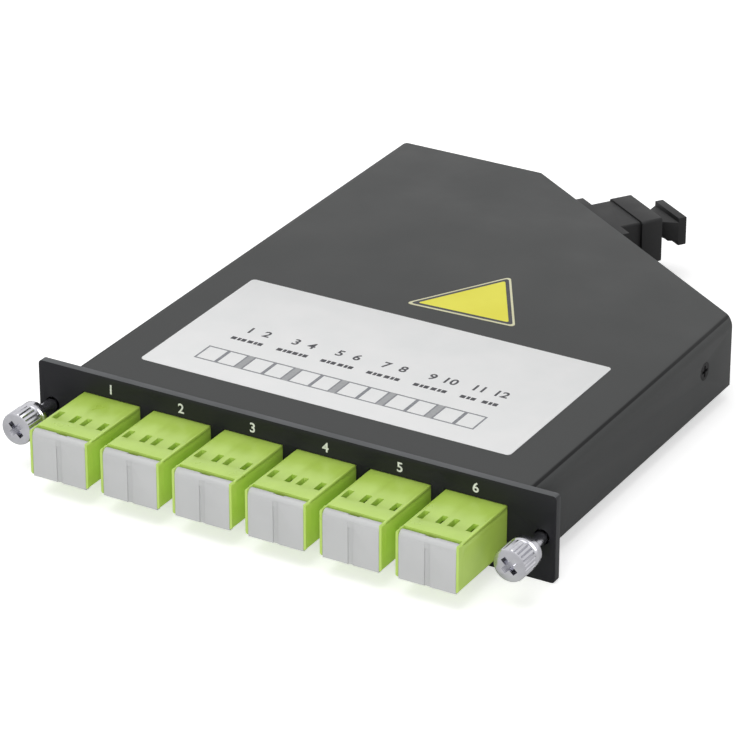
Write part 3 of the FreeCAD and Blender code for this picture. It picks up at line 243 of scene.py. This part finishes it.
# painted shade: a dark line painted on the coat where the surface tilts between up and sideways along a fold,
# standing in for the dark reflection there
def paintBendShade(tree, shader, bendShade):
    normal = addNode(tree, "ShaderNodeNewGeometry").outputs["Normal"]
    upward = addNode(tree, "ShaderNodeSeparateXYZ", None, {"Vector": normal}).outputs["Z"]
    away = addNode(tree, "ShaderNodeMath", {"operation": "SUBTRACT", 1: bendShade["tilt"]}, {0: upward})
    away = addNode(tree, "ShaderNodeMath", {"operation": "ABSOLUTE"}, {0: away.outputs["Value"]})
    shadeBand = addNode(tree, "ShaderNodeMapRange", {
        "From Min": bendShade["core"], "From Max": bendShade["width"], "To Min": bendShade["depth"], "To Max": 0.0},
        {"Value": away.outputs["Value"]})
    coat = shader.inputs["Base Color"].links[0].from_socket
    mix = addNode(tree, "ShaderNodeMix", {"data_type": "RGBA", 7: hexColour(bendShade["colour"])},
                  {0: shadeBand.outputs["Result"], 6: coat})
    tree.links.new(mix.outputs[2], shader.inputs["Base Color"])


# polyester powder coat on steel sheet, fine texture: dull, with a grain of about 0.3 mm and soft clouds
def powderCoat(name, colour, cloud, specular, bendShade=None):
    material, tree, shader, places = startMaterial(name, colour, 0.55)
    shader.inputs["Specular IOR Level"].default_value = specular
    clouds = mottle(tree, shader, places, colour, cloud, spread=14)
    varyRoughness(tree, shader, clouds, least=0.5, most=0.62)
    grain(tree, shader, places, size=0.32, height=0.02, strength=0.5)
    if bendShade:
        paintBendShade(tree, shader, bendShade)
    return material


# injection moulded PBT or ABS from a spark-eroded tool: satin, faint flow clouds, grain of about 0.2 mm
def moulded(name, colour, flow, roughness=0.42, specular=0.5):
    material, tree, shader, places = startMaterial(name, colour, roughness, ior=1.54)
    shader.inputs["Specular IOR Level"].default_value = specular
    clouds = mottle(tree, shader, places, colour, flow, spread=6)
    varyRoughness(tree, shader, clouds, least=roughness - 0.05, most=roughness + 0.06)
    grain(tree, shader, places, size=0.22, height=0.008, strength=0.5)
    return material


# turned and plated metal: bright, with turning marks across its length, drawn 0.12 mm apart to show
def turned(name, colour, worn, roughness, step=0.12, height=0.004):
    material, tree, shader, places = startMaterial(name, colour, roughness, metallic=1.0)
    marks = addNode(tree, "ShaderNodeTexWave", {
        "wave_type": "BANDS", "bands_direction": "Y", "Scale": 0.314 / (step * mm), "Distortion": 0.4},
        {"Vector": places})
    clouds = mottle(tree, shader, places, colour, worn, spread=2.5)
    varyRoughness(tree, shader, clouds, least=roughness - 0.05, most=roughness + 0.09)
    bump = addNode(tree, "ShaderNodeBump", {"Distance": height * mm, "Strength": 0.5},
                   {"Height": marks.outputs["Fac"]})
    tree.links.new(bump.outputs["Normal"], shader.inputs["Normal"])
    return material


# steel screws blackened by hot oxide: a thin dull skin that hides the metal, a little oily in its clouds
def blackOxide(name, colour, worn):
    material, tree, shader, places = startMaterial(name, colour, 0.55)
    shader.inputs["Specular IOR Level"].default_value = 0.25
    clouds = mottle(tree, shader, places, colour, worn, spread=0.8)
    varyRoughness(tree, shader, clouds, least=0.5, most=0.65)
    grain(tree, shader, places, size=0.12, height=0.004, strength=0.5)
    return material


# bare or zinc plated strip: metal with rolling marks along one way, drawn 0.15 mm apart
def rolledSteel(name, colour, roughness, step=0.15, height=0.003):
    material, tree, shader, places = startMaterial(name, colour, roughness, metallic=1.0)
    stretched = addNode(tree, "ShaderNodeMapping", {"Scale": (0.04, 1.0, 1.0)}, {"Vector": places})
    marks = addNode(tree, "ShaderNodeTexNoise", {"Scale": 1 / (step * mm), "Detail": 2.0},
                    {"Vector": stretched.outputs["Vector"]})
    varyRoughness(tree, shader, marks.outputs["Fac"], least=roughness - 0.08, most=roughness + 0.12)
    mottle(tree, shader, places, colour, "8e8e8c", spread=4)
    bump = addNode(tree, "ShaderNodeBump", {"Distance": height * mm, "Strength": 0.4},
                   {"Height": marks.outputs["Fac"]})
    tree.links.new(bump.outputs["Normal"], shader.inputs["Normal"])
    return material


# printed self-adhesive vinyl: smooth and semi-matt, a little uneven where it lies on the coat
def vinyl(name, colour, shade, roughness=0.38):
    material, tree, shader, places = startMaterial(name, colour, roughness, ior=1.53)
    clouds = mottle(tree, shader, places, colour, shade, spread=9)
    varyRoughness(tree, shader, clouds, least=roughness - 0.04, most=roughness + 0.08)
    grain(tree, shader, places, size=0.6, height=0.006, strength=0.35)
    return material


# screen-printed ink: matt, thin and slightly open at its edges
def ink(name, colour, thin, roughness=0.6):
    material, tree, shader, places = startMaterial(name, colour, roughness)
    mottle(tree, shader, places, colour, thin, spread=0.5)
    grain(tree, shader, places, size=0.15, height=0.004, strength=0.4)
    return material


finishes = {
    "plateCoat": powderCoat("powder_coated_plate", "1b1b1f", "1f1f23", specular=0.25),
    # painted highlight: the plate's coat lightened for its top and bottom edges
    "plateEdge": powderCoat("powder_coated_edge_painted_highlight", "56585a", "4d4f51", specular=0.4),
    # painted light: the plate's coat lightened less for its end edges
    "plateEndLight": powderCoat("powder_coated_end_painted_light", "37383a", "323335", specular=0.3),
    # the housing coat carries a painted dark line of shade along its folds
    "housingCoat": powderCoat("powder_coated_housing", "454646", "494a4a", specular=0.2, bendShade={
                              "tilt": 0.87, "core": 0.05, "width": 0.1, "depth": 0.95, "colour": "0e0e0f"}),
    "lime": moulded("moulded_lime_pbt", "badc58", "c3e366", roughness=0.32, specular=1.0),
    "grey": moulded("moulded_light_grey_pbt", "c8c9c9", "cccdcd", roughness=0.4),
    "plug": moulded("moulded_plug_green", "8fb04a", "97b852"),
    "black": moulded("moulded_black_pbt", "1c1c1d", "212122", roughness=0.5, specular=0.25),
    "cap": moulded("moulded_black_cap", "171718", "1c1c1d", roughness=0.5, specular=0.3),
    "tube": moulded("extruded_aqua_jacket", "4fb5b8", "5abfc1", roughness=0.45),
    "zirconia": moulded("sintered_zirconia", "f0eee8", "e8e5dc", roughness=0.2),
    "nickel": turned("nickel_plated_brass", "d2d2d7", "bfbfc5", roughness=0.16),
    "oxide": blackOxide("black_oxide_screw_steel", "0e0e0f", "151516"),
    "spring": rolledSteel("spring_steel_wire", "b4b4b2", roughness=0.3),
    "strip": rolledSteel("zinc_plated_strip", "a8a8a6", roughness=0.36),
    "label": vinyl("white_vinyl_label", "f5f5f5", "f0f1f1"),
    "yellow": vinyl("yellow_vinyl", "f4ee38", "eee63a"),
    "rim": vinyl("pale_vinyl_rim", "e6e4c0", "dcd9b0"),
    "ink": ink("dark_print", "303034", "47474c"),
    "greyInk": ink("grey_print", "808286", "93959a"),
    "paleInk": ink("pale_grey_print", "a5a6a8", "b0b1b3"),
    "whiteInk": ink("white_print", "f0f0f0", "d4d4d6"),
}

# the frame's own nodes keep their shapes where nothing below replaces them
nodeFinish = {
    "base_tray": "housingCoat", "plate_rivets": "plateCoat", "adapter_comb": "strip",
    "shutter_pins": "spring", "shutter_springs": "spring", "screw_ring": "spring",
    "alignment_sleeves": "zirconia", "sleeve_holders": "lime", "mpo_plug": "plug",
    "fanout_boot": "cap", "cover_screws": "oxide", "mpo_screws": "oxide",
    "lc_plug": "plug", "fibre_tube": "tube", "front_plate": "plateCoat", "top_cover": "housingCoat",
    "lc_adapter": "lime", "shutter_": "grey", "mpo_adapter": "black", "dust_cap": "cap",
    "captive_screw": "nickel",
}
for nodeName, node in frame["nodes"].items():
    match = max((key for key in nodeFinish if nodeName.startswith(key)), key=len)
    for slot in node.material_slots:
        slot.material = finishes[nodeFinish[match]]


print("sheet metal")

sheetMetal = {"plateEdge": 0.12, "coverEdge": 0.1, "rim": 0.3}

plate = softened("front_plate", sheetMetal["plateEdge"])
finishPiece(plate, "plate_sheet", finishes["plateCoat"], "housing", ["front_plate"])
plateLow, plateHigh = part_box("front_plate")
rim = sheetMetal["rim"] * mm


def onLongEdge(middle, normal):
    return min(plateHigh.z - middle.z, middle.z - plateLow.z) < rim and abs(normal.z) > abs(normal.y)


def onShortEdge(middle, normal):
    return min(plateHigh.x - middle.x, middle.x - plateLow.x) < rim and abs(normal.x) > abs(normal.y)


# painted light: the sheared edges take lighter copies of the coat for how light falls on them, a painted
# highlight along the top and the bottom, duller painted light at the ends
for index, (finish, test) in enumerate((("plateEdge", onLongEdge), ("plateEndLight", onShortEdge)), 1):
    plate.data.materials.append(finishes[finish])
    editWhere(plate, "FACE", test)
    plate.active_material_index = index
    bpy.ops.object.material_slot_assign()
    deselectAll()
cover = softened("top_cover", sheetMetal["coverEdge"])
finishPiece(cover, "cover_sheet", finishes["housingCoat"], "housing", ["top_cover"])


print("adapters and shutters")

adapters = {"count": 6, "pitch": 15.8, "edge": 0.14, "flapEdge": 0.16, "width": 12.9, "round": 0.45,
            "front": -18.2, "cheek": 0.5, "cheekFront": -19.62, "cheekRoot": 0.3, "roundSteps": 4,
            "flapGap": 0.08, "flapEnds": 1.3, "flapWeld": 0.01, "shellWeld": 0.002,
            "roomFloor": 10.975, "roomBack": -17.25,
            "groove": {"width": 1.2, "front": 20.5, "cuts": ((19.25, 3.0, 11.225), (19.5, 11.0, 12.5))}}
adapterLow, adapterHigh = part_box("lc_adapter_1")
adapterMiddle = adapterLow.lerp(adapterHigh, 0.5)


def addBlock(low, high):
    deselectAll()
    bpy.ops.mesh.primitive_cube_add(size=1, location=(low + high) / 2, scale=high - low)
    block = bpy.context.object
    applyPlace(block)
    return block


def combine(piece, tool, operation):
    addModifier(piece, "BOOLEAN", object=tool, operation=operation, solver="EXACT")
    bpy.data.objects.remove(tool)


# both ends of the flap and of its barrel are flattened onto one plane, so that it hangs between the cheeks;
# its middle groove is widened and runs on upwards, shallow there because the spring's pocket lies behind it
def fitFlap(piece):
    reach = (adapters["width"] / 2 - adapters["cheek"] - adapters["flapGap"]) * mm
    ends = (adapters["width"] / 2 - adapters["flapEnds"]) * mm
    for sign in (-1, 1):
        editWhere(piece, "VERT", lambda co, normal: sign * (co.x - adapterMiddle.x) > ends)
        bpy.ops.transform.resize(value=(0, 1, 1), center_override=(adapterMiddle.x + sign * reach, 0, 0))
    bpy.ops.mesh.select_all(action="SELECT")
    bpy.ops.mesh.remove_doubles(threshold=adapters["flapWeld"] * mm)
    bpy.ops.mesh.dissolve_degenerate(threshold=adapters["flapWeld"] * mm)
    bpy.ops.mesh.dissolve_limited(angle_limit=math.radians(welding["flatAngle"]))
    deselectAll()
    groove = adapters["groove"]
    side = groove["width"] / 2 * mm
    for depth, bottom, top in groove["cuts"]:
        combine(piece, addBlock(Vector((adapterMiddle.x - side, -groove["front"] * mm, bottom * mm)),
                                Vector((adapterMiddle.x + side, -depth * mm, top * mm))), "DIFFERENCE")


# slim cheeks on both sides of the shutter take the place of the hinge's ears, rounded like the long edges,
# and the room for the hinge's barrel is cut through from cheek to cheek
def addCheeks(piece):
    front, half = adapters["front"] * mm, adapters["width"] / 2 * mm
    room = mm  # how far a cutting block stands out past the shape
    combine(piece, addBlock(Vector((adapterLow.x, adapterLow.y - room, adapterLow.z - room)),
                            Vector((adapterHigh.x, front, adapterHigh.z + room))), "DIFFERENCE")
    reach = half - adapters["cheek"] * mm
    combine(piece, addBlock(
        Vector((adapterMiddle.x - reach, front - room, adapters["roomFloor"] * mm)),
        Vector((adapterMiddle.x + reach, adapters["roomBack"] * mm, adapterHigh.z + room))), "DIFFERENCE")
    for sign in (-1, 1):
        outer = adapterMiddle.x + sign * half
        inner = outer - sign * adapters["cheek"] * mm
        cheek = addBlock(Vector((min(outer, inner), adapters["cheekFront"] * mm, adapterLow.z)),
                         Vector((max(outer, inner), front + adapters["cheekRoot"] * mm, adapterHigh.z)))
        outside = inner + sign * adapters["cheek"] / 2 * mm
        editWhere(cheek, "EDGE", lambda middle, along: abs(along.y) > mm and (middle.x - outside) * sign > 0)
        bpy.ops.mesh.bevel(offset=adapters["round"] * mm, segments=adapters["roundSteps"])
        deselectAll()
        combine(piece, cheek, "UNION")
    mergeFlat(piece, adapters["shellWeld"])


shell = softened("lc_adapter_1", adapters["edge"], addCheeks)
flap = softened("shutter_1", adapters["flapEdge"], fitFlap)
shells, flaps = [shell], [flap]
for index in range(1, adapters["count"]):
    shift = (index * adapters["pitch"] * mm, 0, 0)
    shells.append(copyOf(shell, shift))
    flaps.append(copyOf(flap, shift))
for number, (one, other) in enumerate(zip(shells, flaps), 1):
    finishPiece(one, f"adapter_shell_{number}", finishes["lime"], "housing",
                [f"lc_adapter_{number}"])
    finishPiece(other, f"shutter_flap_{number}", finishes["grey"], f"shutter_{number}_body",
                [f"shutter_{number}"])


print("rear adapter and cap")

rearAdapter = {"edge": 0.15, "capEdge": 0.25, "slant": 34.0,
               "stretches": ((2.4, 0.9), (0.4, 0.4))}  # depth from the pull's end, way out

slant = math.radians(rearAdapter["slant"])
outward = Vector((math.sin(slant), math.cos(slant), 0))


# the pull stands further out and its bar is a little thicker than the frame's own
def stretchPull(piece):
    for depth, shift in rearAdapter["stretches"]:
        end = max(vertex.co.dot(outward) for vertex in piece.data.vertices)
        editWhere(piece, "VERT", lambda co, normal: co.dot(outward) > end - depth * mm)
        bpy.ops.transform.translate(value=outward * shift * mm)
        deselectAll()


rear = softened("mpo_adapter", rearAdapter["edge"])
finishPiece(rear, "rear_adapter", finishes["black"], "housing", ["mpo_adapter"])
cap = softened("dust_cap", rearAdapter["capEdge"], stretchPull)
finishPiece(cap, "port_cap", finishes["cap"], "cap", ["dust_cap"])


print("captive screws")

captiveScrew = {
    "offset": 53.1, "level": 8.9, "sides": 96,
    "head": [(2.85, -14.0), (3.2, -13.86), (3.3, -13.6), (3.3, -9.9), (2.85, -9.45), (2.8, -9.38),
             (2.8, -9.08), (2.88, -8.98), (3.2, -8.8), (3.2, -7.55), (3.08, -7.3), (2.8, -7.2),
             (1.45, -7.2), (1.3, -7.05), (1.3, 0.1), (1.05, 0.1), (1.05, 0.8), (1.2, 0.8)],
    "threadStart": 0.95, "threadEnd": 1.95, "pitch": 0.5, "crest": 1.5, "root": 1.21,
    "crestBand": (0.42, 0.58), "tip": [(1.2, 2.1), (1.0, 2.4)],
    "knurls": 24, "knurlDepth": 0.25, "knurlBand": (-13.7, -9.8), "knurlRadius": 3.3, "knurlFrom": 3.2,
    "recessSpan": 4.6, "recessSlot": 1.3, "recessDepth": 1.6, "recessLead": 1.0, "recessTurn": 45,
    "spanTaper": 0.45, "slotTaper": 0.7, "shadeAngle": 32,
}


# draws the open end on to the next place along the axis and gives it the next radius
def latheStep(centre, lastRadius, lastPlace, radius, place):
    bpy.ops.mesh.extrude_region_move(TRANSFORM_OT_translate={"value": (0, (place - lastPlace) * mm, 0)})
    share = radius / lastRadius
    bpy.ops.transform.resize(value=(share, 1, share), center_override=(centre.x, place * mm, centre.z))


def makeCaptiveScrew(x):
    screw = captiveScrew
    centre = Vector((x * mm, 0, screw["level"] * mm))
    steps = list(screw["head"])
    place = screw["threadStart"]
    rise, fall = screw["crestBand"]
    while place < screw["threadEnd"] - 1e-6:
        steps += [(screw["root"], place), (screw["crest"], place + screw["pitch"] * rise),
                  (screw["crest"], place + screw["pitch"] * fall)]
        place += screw["pitch"]
    steps += screw["tip"]
    radius, place = steps[0]
    deselectAll()
    bpy.ops.mesh.primitive_circle_add(
        vertices=screw["sides"], radius=radius * mm, fill_type="NGON",
        location=(centre.x, place * mm, centre.z), rotation=(math.radians(90), 0, 0))
    piece = bpy.context.object
    applyPlace(piece)
    bpy.ops.object.mode_set(mode="EDIT")
    bpy.ops.mesh.select_mode(type="FACE")
    bpy.ops.mesh.select_all(action="SELECT")
    for nextRadius, nextPlace in steps[1:]:
        latheStep(centre, radius, place, nextRadius, nextPlace)
        radius, place = nextRadius, nextPlace
    deselectAll()
    outwards(piece)
    # straight knurls: every fourth column of the head's side is drawn in
    every = screw["sides"] // screw["knurls"]
    front, back = screw["knurlBand"]

    def onKnurl(co, normal):
        turn = math.atan2(co.z - centre.z, co.x - centre.x) / (2 * math.pi) * screw["sides"]
        away = math.hypot(co.x - centre.x, co.z - centre.z) / mm
        return front < co.y / mm < back and away > screw["knurlFrom"] and round(turn) % every == 0

    editWhere(piece, "VERT", onKnurl)
    inner = 1 - screw["knurlDepth"] / screw["knurlRadius"]
    bpy.ops.transform.resize(value=(inner, 1, inner), center_override=(centre.x, 0, centre.z))
    deselectAll()
    # cross recess, cut with two tapered bars
    depth, lead = screw["recessDepth"], screw["recessLead"]
    span, slot = (screw["recessSpan"], screw["spanTaper"]), (screw["recessSlot"], screw["slotTaper"])
    for (wide, wideTaper), (high, highTaper) in ((span, slot), (slot, span)):
        deselectAll()
        bpy.ops.mesh.primitive_cube_add(
            size=1, location=(centre.x, (screw["head"][0][1] + (depth - lead) / 2) * mm, centre.z),
            scale=(wide * mm, (depth + lead) * mm, high * mm))
        bar = bpy.context.object
        applyPlace(bar)
        editWhere(bar, "FACE", lambda middle, normal: normal.y > 0.9)
        bpy.ops.transform.resize(value=(wideTaper, 1, highTaper), center_override=(centre.x, 0, centre.z))
        bpy.ops.mesh.select_all(action="SELECT")
        bpy.ops.transform.rotate(value=math.radians(screw["recessTurn"]), orient_axis="Y",
                                 center_override=(centre.x, 0, centre.z))
        deselectAll()
        combine(piece, bar, "DIFFERENCE")
    smoothByAngle(piece, screw["shadeAngle"])
    return piece


for side, sign in (("left", -1), ("right", 1)):
    screwPiece = makeCaptiveScrew(sign * captiveScrew["offset"])
    finishPiece(screwPiece, f"knurled_screw_{side}", finishes["nickel"], f"{side}_screw",
                [f"captive_screw_{side}"])


print("cover label")

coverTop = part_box("top_cover")[1].z / mm
coverLabel = {
    "middle": (0.8, 29.3), "size": (80.4, 41.6), "corner": 0.9, "cornerSteps": 8, "thick": 0.1,
    "edge": 0.03, "print": 0.02,
    "numbersAt": (-27.3, -23.6, -17.0, -13.5, -7.2, -3.4, 3.0, 6.8, 13.2, 17.0, 23.3, 28.0),
    "numbersY": 29.5, "numberHeight": 2.35, "weight": 0.07,
    "marksY": 25.2, "marks": ((-1.2, 1.088), (0.0, 0.64), (1.008, 0.96)), "markHeight": 1.1,
    "boxesX": (-30.8, 30.3), "boxesY": (14.2, 20.0), "pairs": 6, "barWidth": 1.3, "line": 0.36,
}


def addSheet(middle, size, bottom, thick, corner=0.0):
    deselectAll()
    bpy.ops.mesh.primitive_plane_add(size=1, location=(middle[0] * mm, middle[1] * mm, bottom * mm))
    piece = bpy.context.object
    piece.scale = (size[0] * mm, size[1] * mm, 1)
    applyPlace(piece)
    bpy.ops.object.mode_set(mode="EDIT")
    bpy.ops.mesh.select_all(action="SELECT")
    if corner:
        bpy.ops.mesh.bevel(offset=corner * mm, segments=coverLabel["cornerSteps"], affect="VERTICES")
        bpy.ops.mesh.select_all(action="SELECT")
    bpy.ops.mesh.extrude_region_move(TRANSFORM_OT_translate={"value": (0, 0, thick * mm)})
    deselectAll()
    outwards(piece)
    return piece


def joinPieces(pieces):
    deselectAll()
    for piece in pieces:
        piece.select_set(True)
    bpy.context.view_layer.objects.active = pieces[0]
    bpy.ops.object.join()
    return bpy.context.object


lettering = {"capShare": 0.72, "curveSteps": 4}  # a figure's height over the font's size


def addText(words, height, place, rotation, thick, weight):
    deselectAll()
    bpy.ops.object.text_add(location=[value * mm for value in place], rotation=rotation)
    text = bpy.context.object
    text.data.body = words
    text.data.align_x = "CENTER"
    text.data.align_y = "CENTER"
    text.data.size = height * mm / lettering["capShare"]
    text.data.extrude = thick * mm / 2
    text.data.offset = weight * mm
    text.data.resolution_u = lettering["curveSteps"]
    bpy.ops.object.convert(target="MESH")
    applyPlace(text)
    outwards(text)
    return text


labelTop = coverTop + coverLabel["thick"]
film = addSheet(coverLabel["middle"], coverLabel["size"], coverTop, coverLabel["thick"], coverLabel["corner"])
addModifier(film, "BEVEL", width=coverLabel["edge"] * mm, segments=2, limit_method="ANGLE",
            angle_limit=math.radians(60))
smoothByAngle(film)
finishPiece(film, "cover_label", finishes["label"], "housing")

printMiddle = labelTop + coverLabel["print"] / 2
numbers = joinPieces([
    addText(str(index + 1), coverLabel["numberHeight"], (x, coverLabel["numbersY"], printMiddle), (0, 0, 0),
            coverLabel["print"], coverLabel["weight"])
    for index, x in enumerate(coverLabel["numbersAt"])])
finishPiece(numbers, "label_numbers", finishes["ink"], "housing")

marks = joinPieces([
    addSheet((x + shift, coverLabel["marksY"]), (width, coverLabel["markHeight"]), labelTop,
             coverLabel["print"])
    for x in coverLabel["numbersAt"] for shift, width in coverLabel["marks"]])
finishPiece(marks, "label_marks", finishes["ink"], "housing")


def addOutline(left, right, bottom, top, line):
    piece = addSheet(((left + right) / 2, (bottom + top) / 2), (right - left, top - bottom), labelTop,
                     coverLabel["print"])
    editWhere(piece, "FACE", lambda middle, normal: abs(normal.z) > 0.9)
    bpy.ops.mesh.inset(thickness=line * mm, use_even_offset=True)
    bpy.ops.mesh.bridge_edge_loops()
    deselectAll()
    outwards(piece)
    return piece


left, right = coverLabel["boxesX"]
bottom, top = coverLabel["boxesY"]
pairs, bar, line = coverLabel["pairs"], coverLabel["barWidth"], coverLabel["line"]
pairWidth = (right - left - (pairs - 1) * bar) / pairs
outlines, bars = [], []
for index in range(pairs):
    start = left + index * (pairWidth + bar)
    middle = start + pairWidth / 2
    outlines.append(addOutline(start, middle + line / 2, bottom, top, line))
    outlines.append(addOutline(middle + line / 2, start + pairWidth, bottom, top, line))
    if index < pairs - 1:
        bars.append(addSheet((start + pairWidth + bar / 2, (bottom + top) / 2), (bar, top - bottom), labelTop,
                             coverLabel["print"]))
finishPiece(joinPieces(outlines), "label_boxes", finishes["greyInk"], "housing")
finishPiece(joinPieces(bars), "label_bars", finishes["paleInk"], "housing")


print("triangle and digits")

triangle = {
    "corners": ((-7.6, 55.6), (4.8, 76.7), (16.4, 56.8)), "startRadius": 10, "cornerSteps": 6,
    "layers": (("rim", 0.0, 0.1, 1.3), ("ink", 0.45, 0.12, 1.0), ("yellow", 1.2, 0.14, 0.6)),
}


# one layer of the sticker: the outline drawn in by a width, its corners rounded, from the cover upwards
def addTriangle(inset, thick, rounding):
    deselectAll()
    corners = [Vector((x * mm, y * mm, coverTop * mm)) for x, y in triangle["corners"]]
    sides = [(corners[(index + 1) % 3] - corners[(index + 2) % 3]).length for index in range(3)]
    heart = sum((corner * side for corner, side in zip(corners, sides)), Vector()) / sum(sides)
    area = (corners[1] - corners[0]).cross(corners[2] - corners[0]).length / 2
    share = 1 - inset * mm * sum(sides) / (2 * area)
    bpy.ops.mesh.primitive_circle_add(vertices=3, radius=triangle["startRadius"] * mm, fill_type="NGON",
                                      location=heart)
    piece = bpy.context.object
    applyPlace(piece)
    # each corner of the regular triangle goes to its own place
    for index, corner in enumerate(corners):
        here = piece.data.vertices[index].co.copy()
        editWhere(piece, "VERT", lambda co, normal: (co - here).length < 1e-6)
        bpy.ops.transform.translate(value=heart + (corner - heart) * share - here)
        deselectAll()
    editWhere(piece, "FACE", lambda co, normal: True)
    bpy.ops.mesh.bevel(offset=rounding * mm, segments=triangle["cornerSteps"], affect="VERTICES")
    bpy.ops.mesh.select_all(action="SELECT")
    bpy.ops.mesh.extrude_region_move(TRANSFORM_OT_translate={"value": (0, 0, thick * mm)})
    deselectAll()
    outwards(piece)
    return piece


layers = []
for finish, inset, thick, rounding in triangle["layers"]:
    layer = addTriangle(inset, thick, rounding)
    layer.data.materials.append(finishes[finish])
    layers.append(layer)
finishPiece(joinPieces(layers), "triangle_sticker", None, "housing")

plateDigits = {"front": -1.6, "height": 2.0, "level": 15.3, "thick": 0.02, "weight": 0.05}
digits = joinPieces([
    addText(str(index + 1), plateDigits["height"],
            ((index - (adapters["count"] - 1) / 2) * adapters["pitch"],
             plateDigits["front"] - plateDigits["thick"] / 2, plateDigits["level"]),
            (math.radians(90), 0, 0), plateDigits["thick"], plateDigits["weight"])
    for index in range(adapters["count"])])
finishPiece(digits, "plate_digits", finishes["whiteInk"], "housing")


print("studio")

studio = {"floor": 4.0, "floorGlow": 0.55, "fill": 0.28,
          "keyPower": 15.2, "keySize": 1.6, "keyPlace": (-0.3, -0.1, 1.6),
          "sidePower": 6.3, "sideSize": 0.7, "sidePlace": (0.5, -1.15, 0.42), "aim": (0, 0.05, 0)}

deselectAll()
bpy.ops.mesh.primitive_plane_add(size=studio["floor"], location=(0, 0, 0))
floor = bpy.context.object
floor.name = "studio_floor"
material, tree, shader, places = startMaterial("matt_white_floor", "f2f2f2", 0.9)
shader.inputs["Specular IOR Level"].default_value = 0.1
path = addNode(tree, "ShaderNodeLightPath")
glow = addNode(tree, "ShaderNodeEmission", {"Color": (1, 1, 1, 1)})
lit = addNode(tree, "ShaderNodeMath", {"operation": "MULTIPLY", 1: studio["floorGlow"]},
              {0: path.outputs["Is Camera Ray"]})
tree.links.new(lit.outputs["Value"], glow.inputs["Strength"])
both = addNode(tree, "ShaderNodeAddShader", None, {0: shader.outputs["BSDF"], 1: glow.outputs["Emission"]})
output = next(node for node in tree.nodes if node.type == "OUTPUT_MATERIAL")
tree.links.new(both.outputs["Shader"], output.inputs["Surface"])
floor.data.materials.append(material)

world = bpy.data.worlds.new("soft_studio")
world.use_nodes = True
tree = world.node_tree
tree.nodes.clear()
path = addNode(tree, "ShaderNodeLightPath")
seen = addNode(tree, "ShaderNodeMath", {"operation": "MAXIMUM"},
               {0: path.outputs["Is Camera Ray"], 1: path.outputs["Is Glossy Ray"]})
seen = addNode(tree, "ShaderNodeMath", {"operation": "MAXIMUM"},
               {0: seen.outputs["Value"], 1: path.outputs["Is Transmission Ray"]})
strength = addNode(tree, "ShaderNodeMapRange", {"To Min": studio["fill"], "To Max": 1.0},
                   {"Value": seen.outputs["Value"]})
background = addNode(tree, "ShaderNodeBackground", {"Color": (1, 1, 1, 1)},
                     {"Strength": strength.outputs["Result"]})
addNode(tree, "ShaderNodeOutputWorld", None, {"Surface": background.outputs["Background"]})
bpy.context.scene.world = world


def addLamp(name, place, size, power):
    deselectAll()
    bpy.ops.object.light_add(type="AREA", location=place)
    lamp = bpy.context.object
    lamp.name = name
    lamp.data.energy = power
    lamp.data.size = size
    lamp.rotation_euler = (Vector(studio["aim"]) - Vector(place)).to_track_quat("-Z", "Y").to_euler()


addLamp("key", studio["keyPlace"], studio["keySize"], studio["keyPower"])
addLamp("front_fill", studio["sidePlace"], studio["sideSize"], studio["sidePower"])

view = {"place": (0.3373, -0.5564, 0.3509), "target": (-0.00676, 0.0395, 0.01052), "lens": 192.5,
        "sensor": 36}
deselectAll()
bpy.ops.object.camera_add(location=view["place"])
camera = bpy.context.object
camera.rotation_euler = (Vector(view["target"]) - Vector(view["place"])).to_track_quat("-Z", "Y").to_euler()
camera.data.lens = view["lens"]
camera.data.sensor_width = view["sensor"]
bpy.context.scene.camera = camera
bpy.context.scene.view_settings.view_transform = "Standard"

print("done")
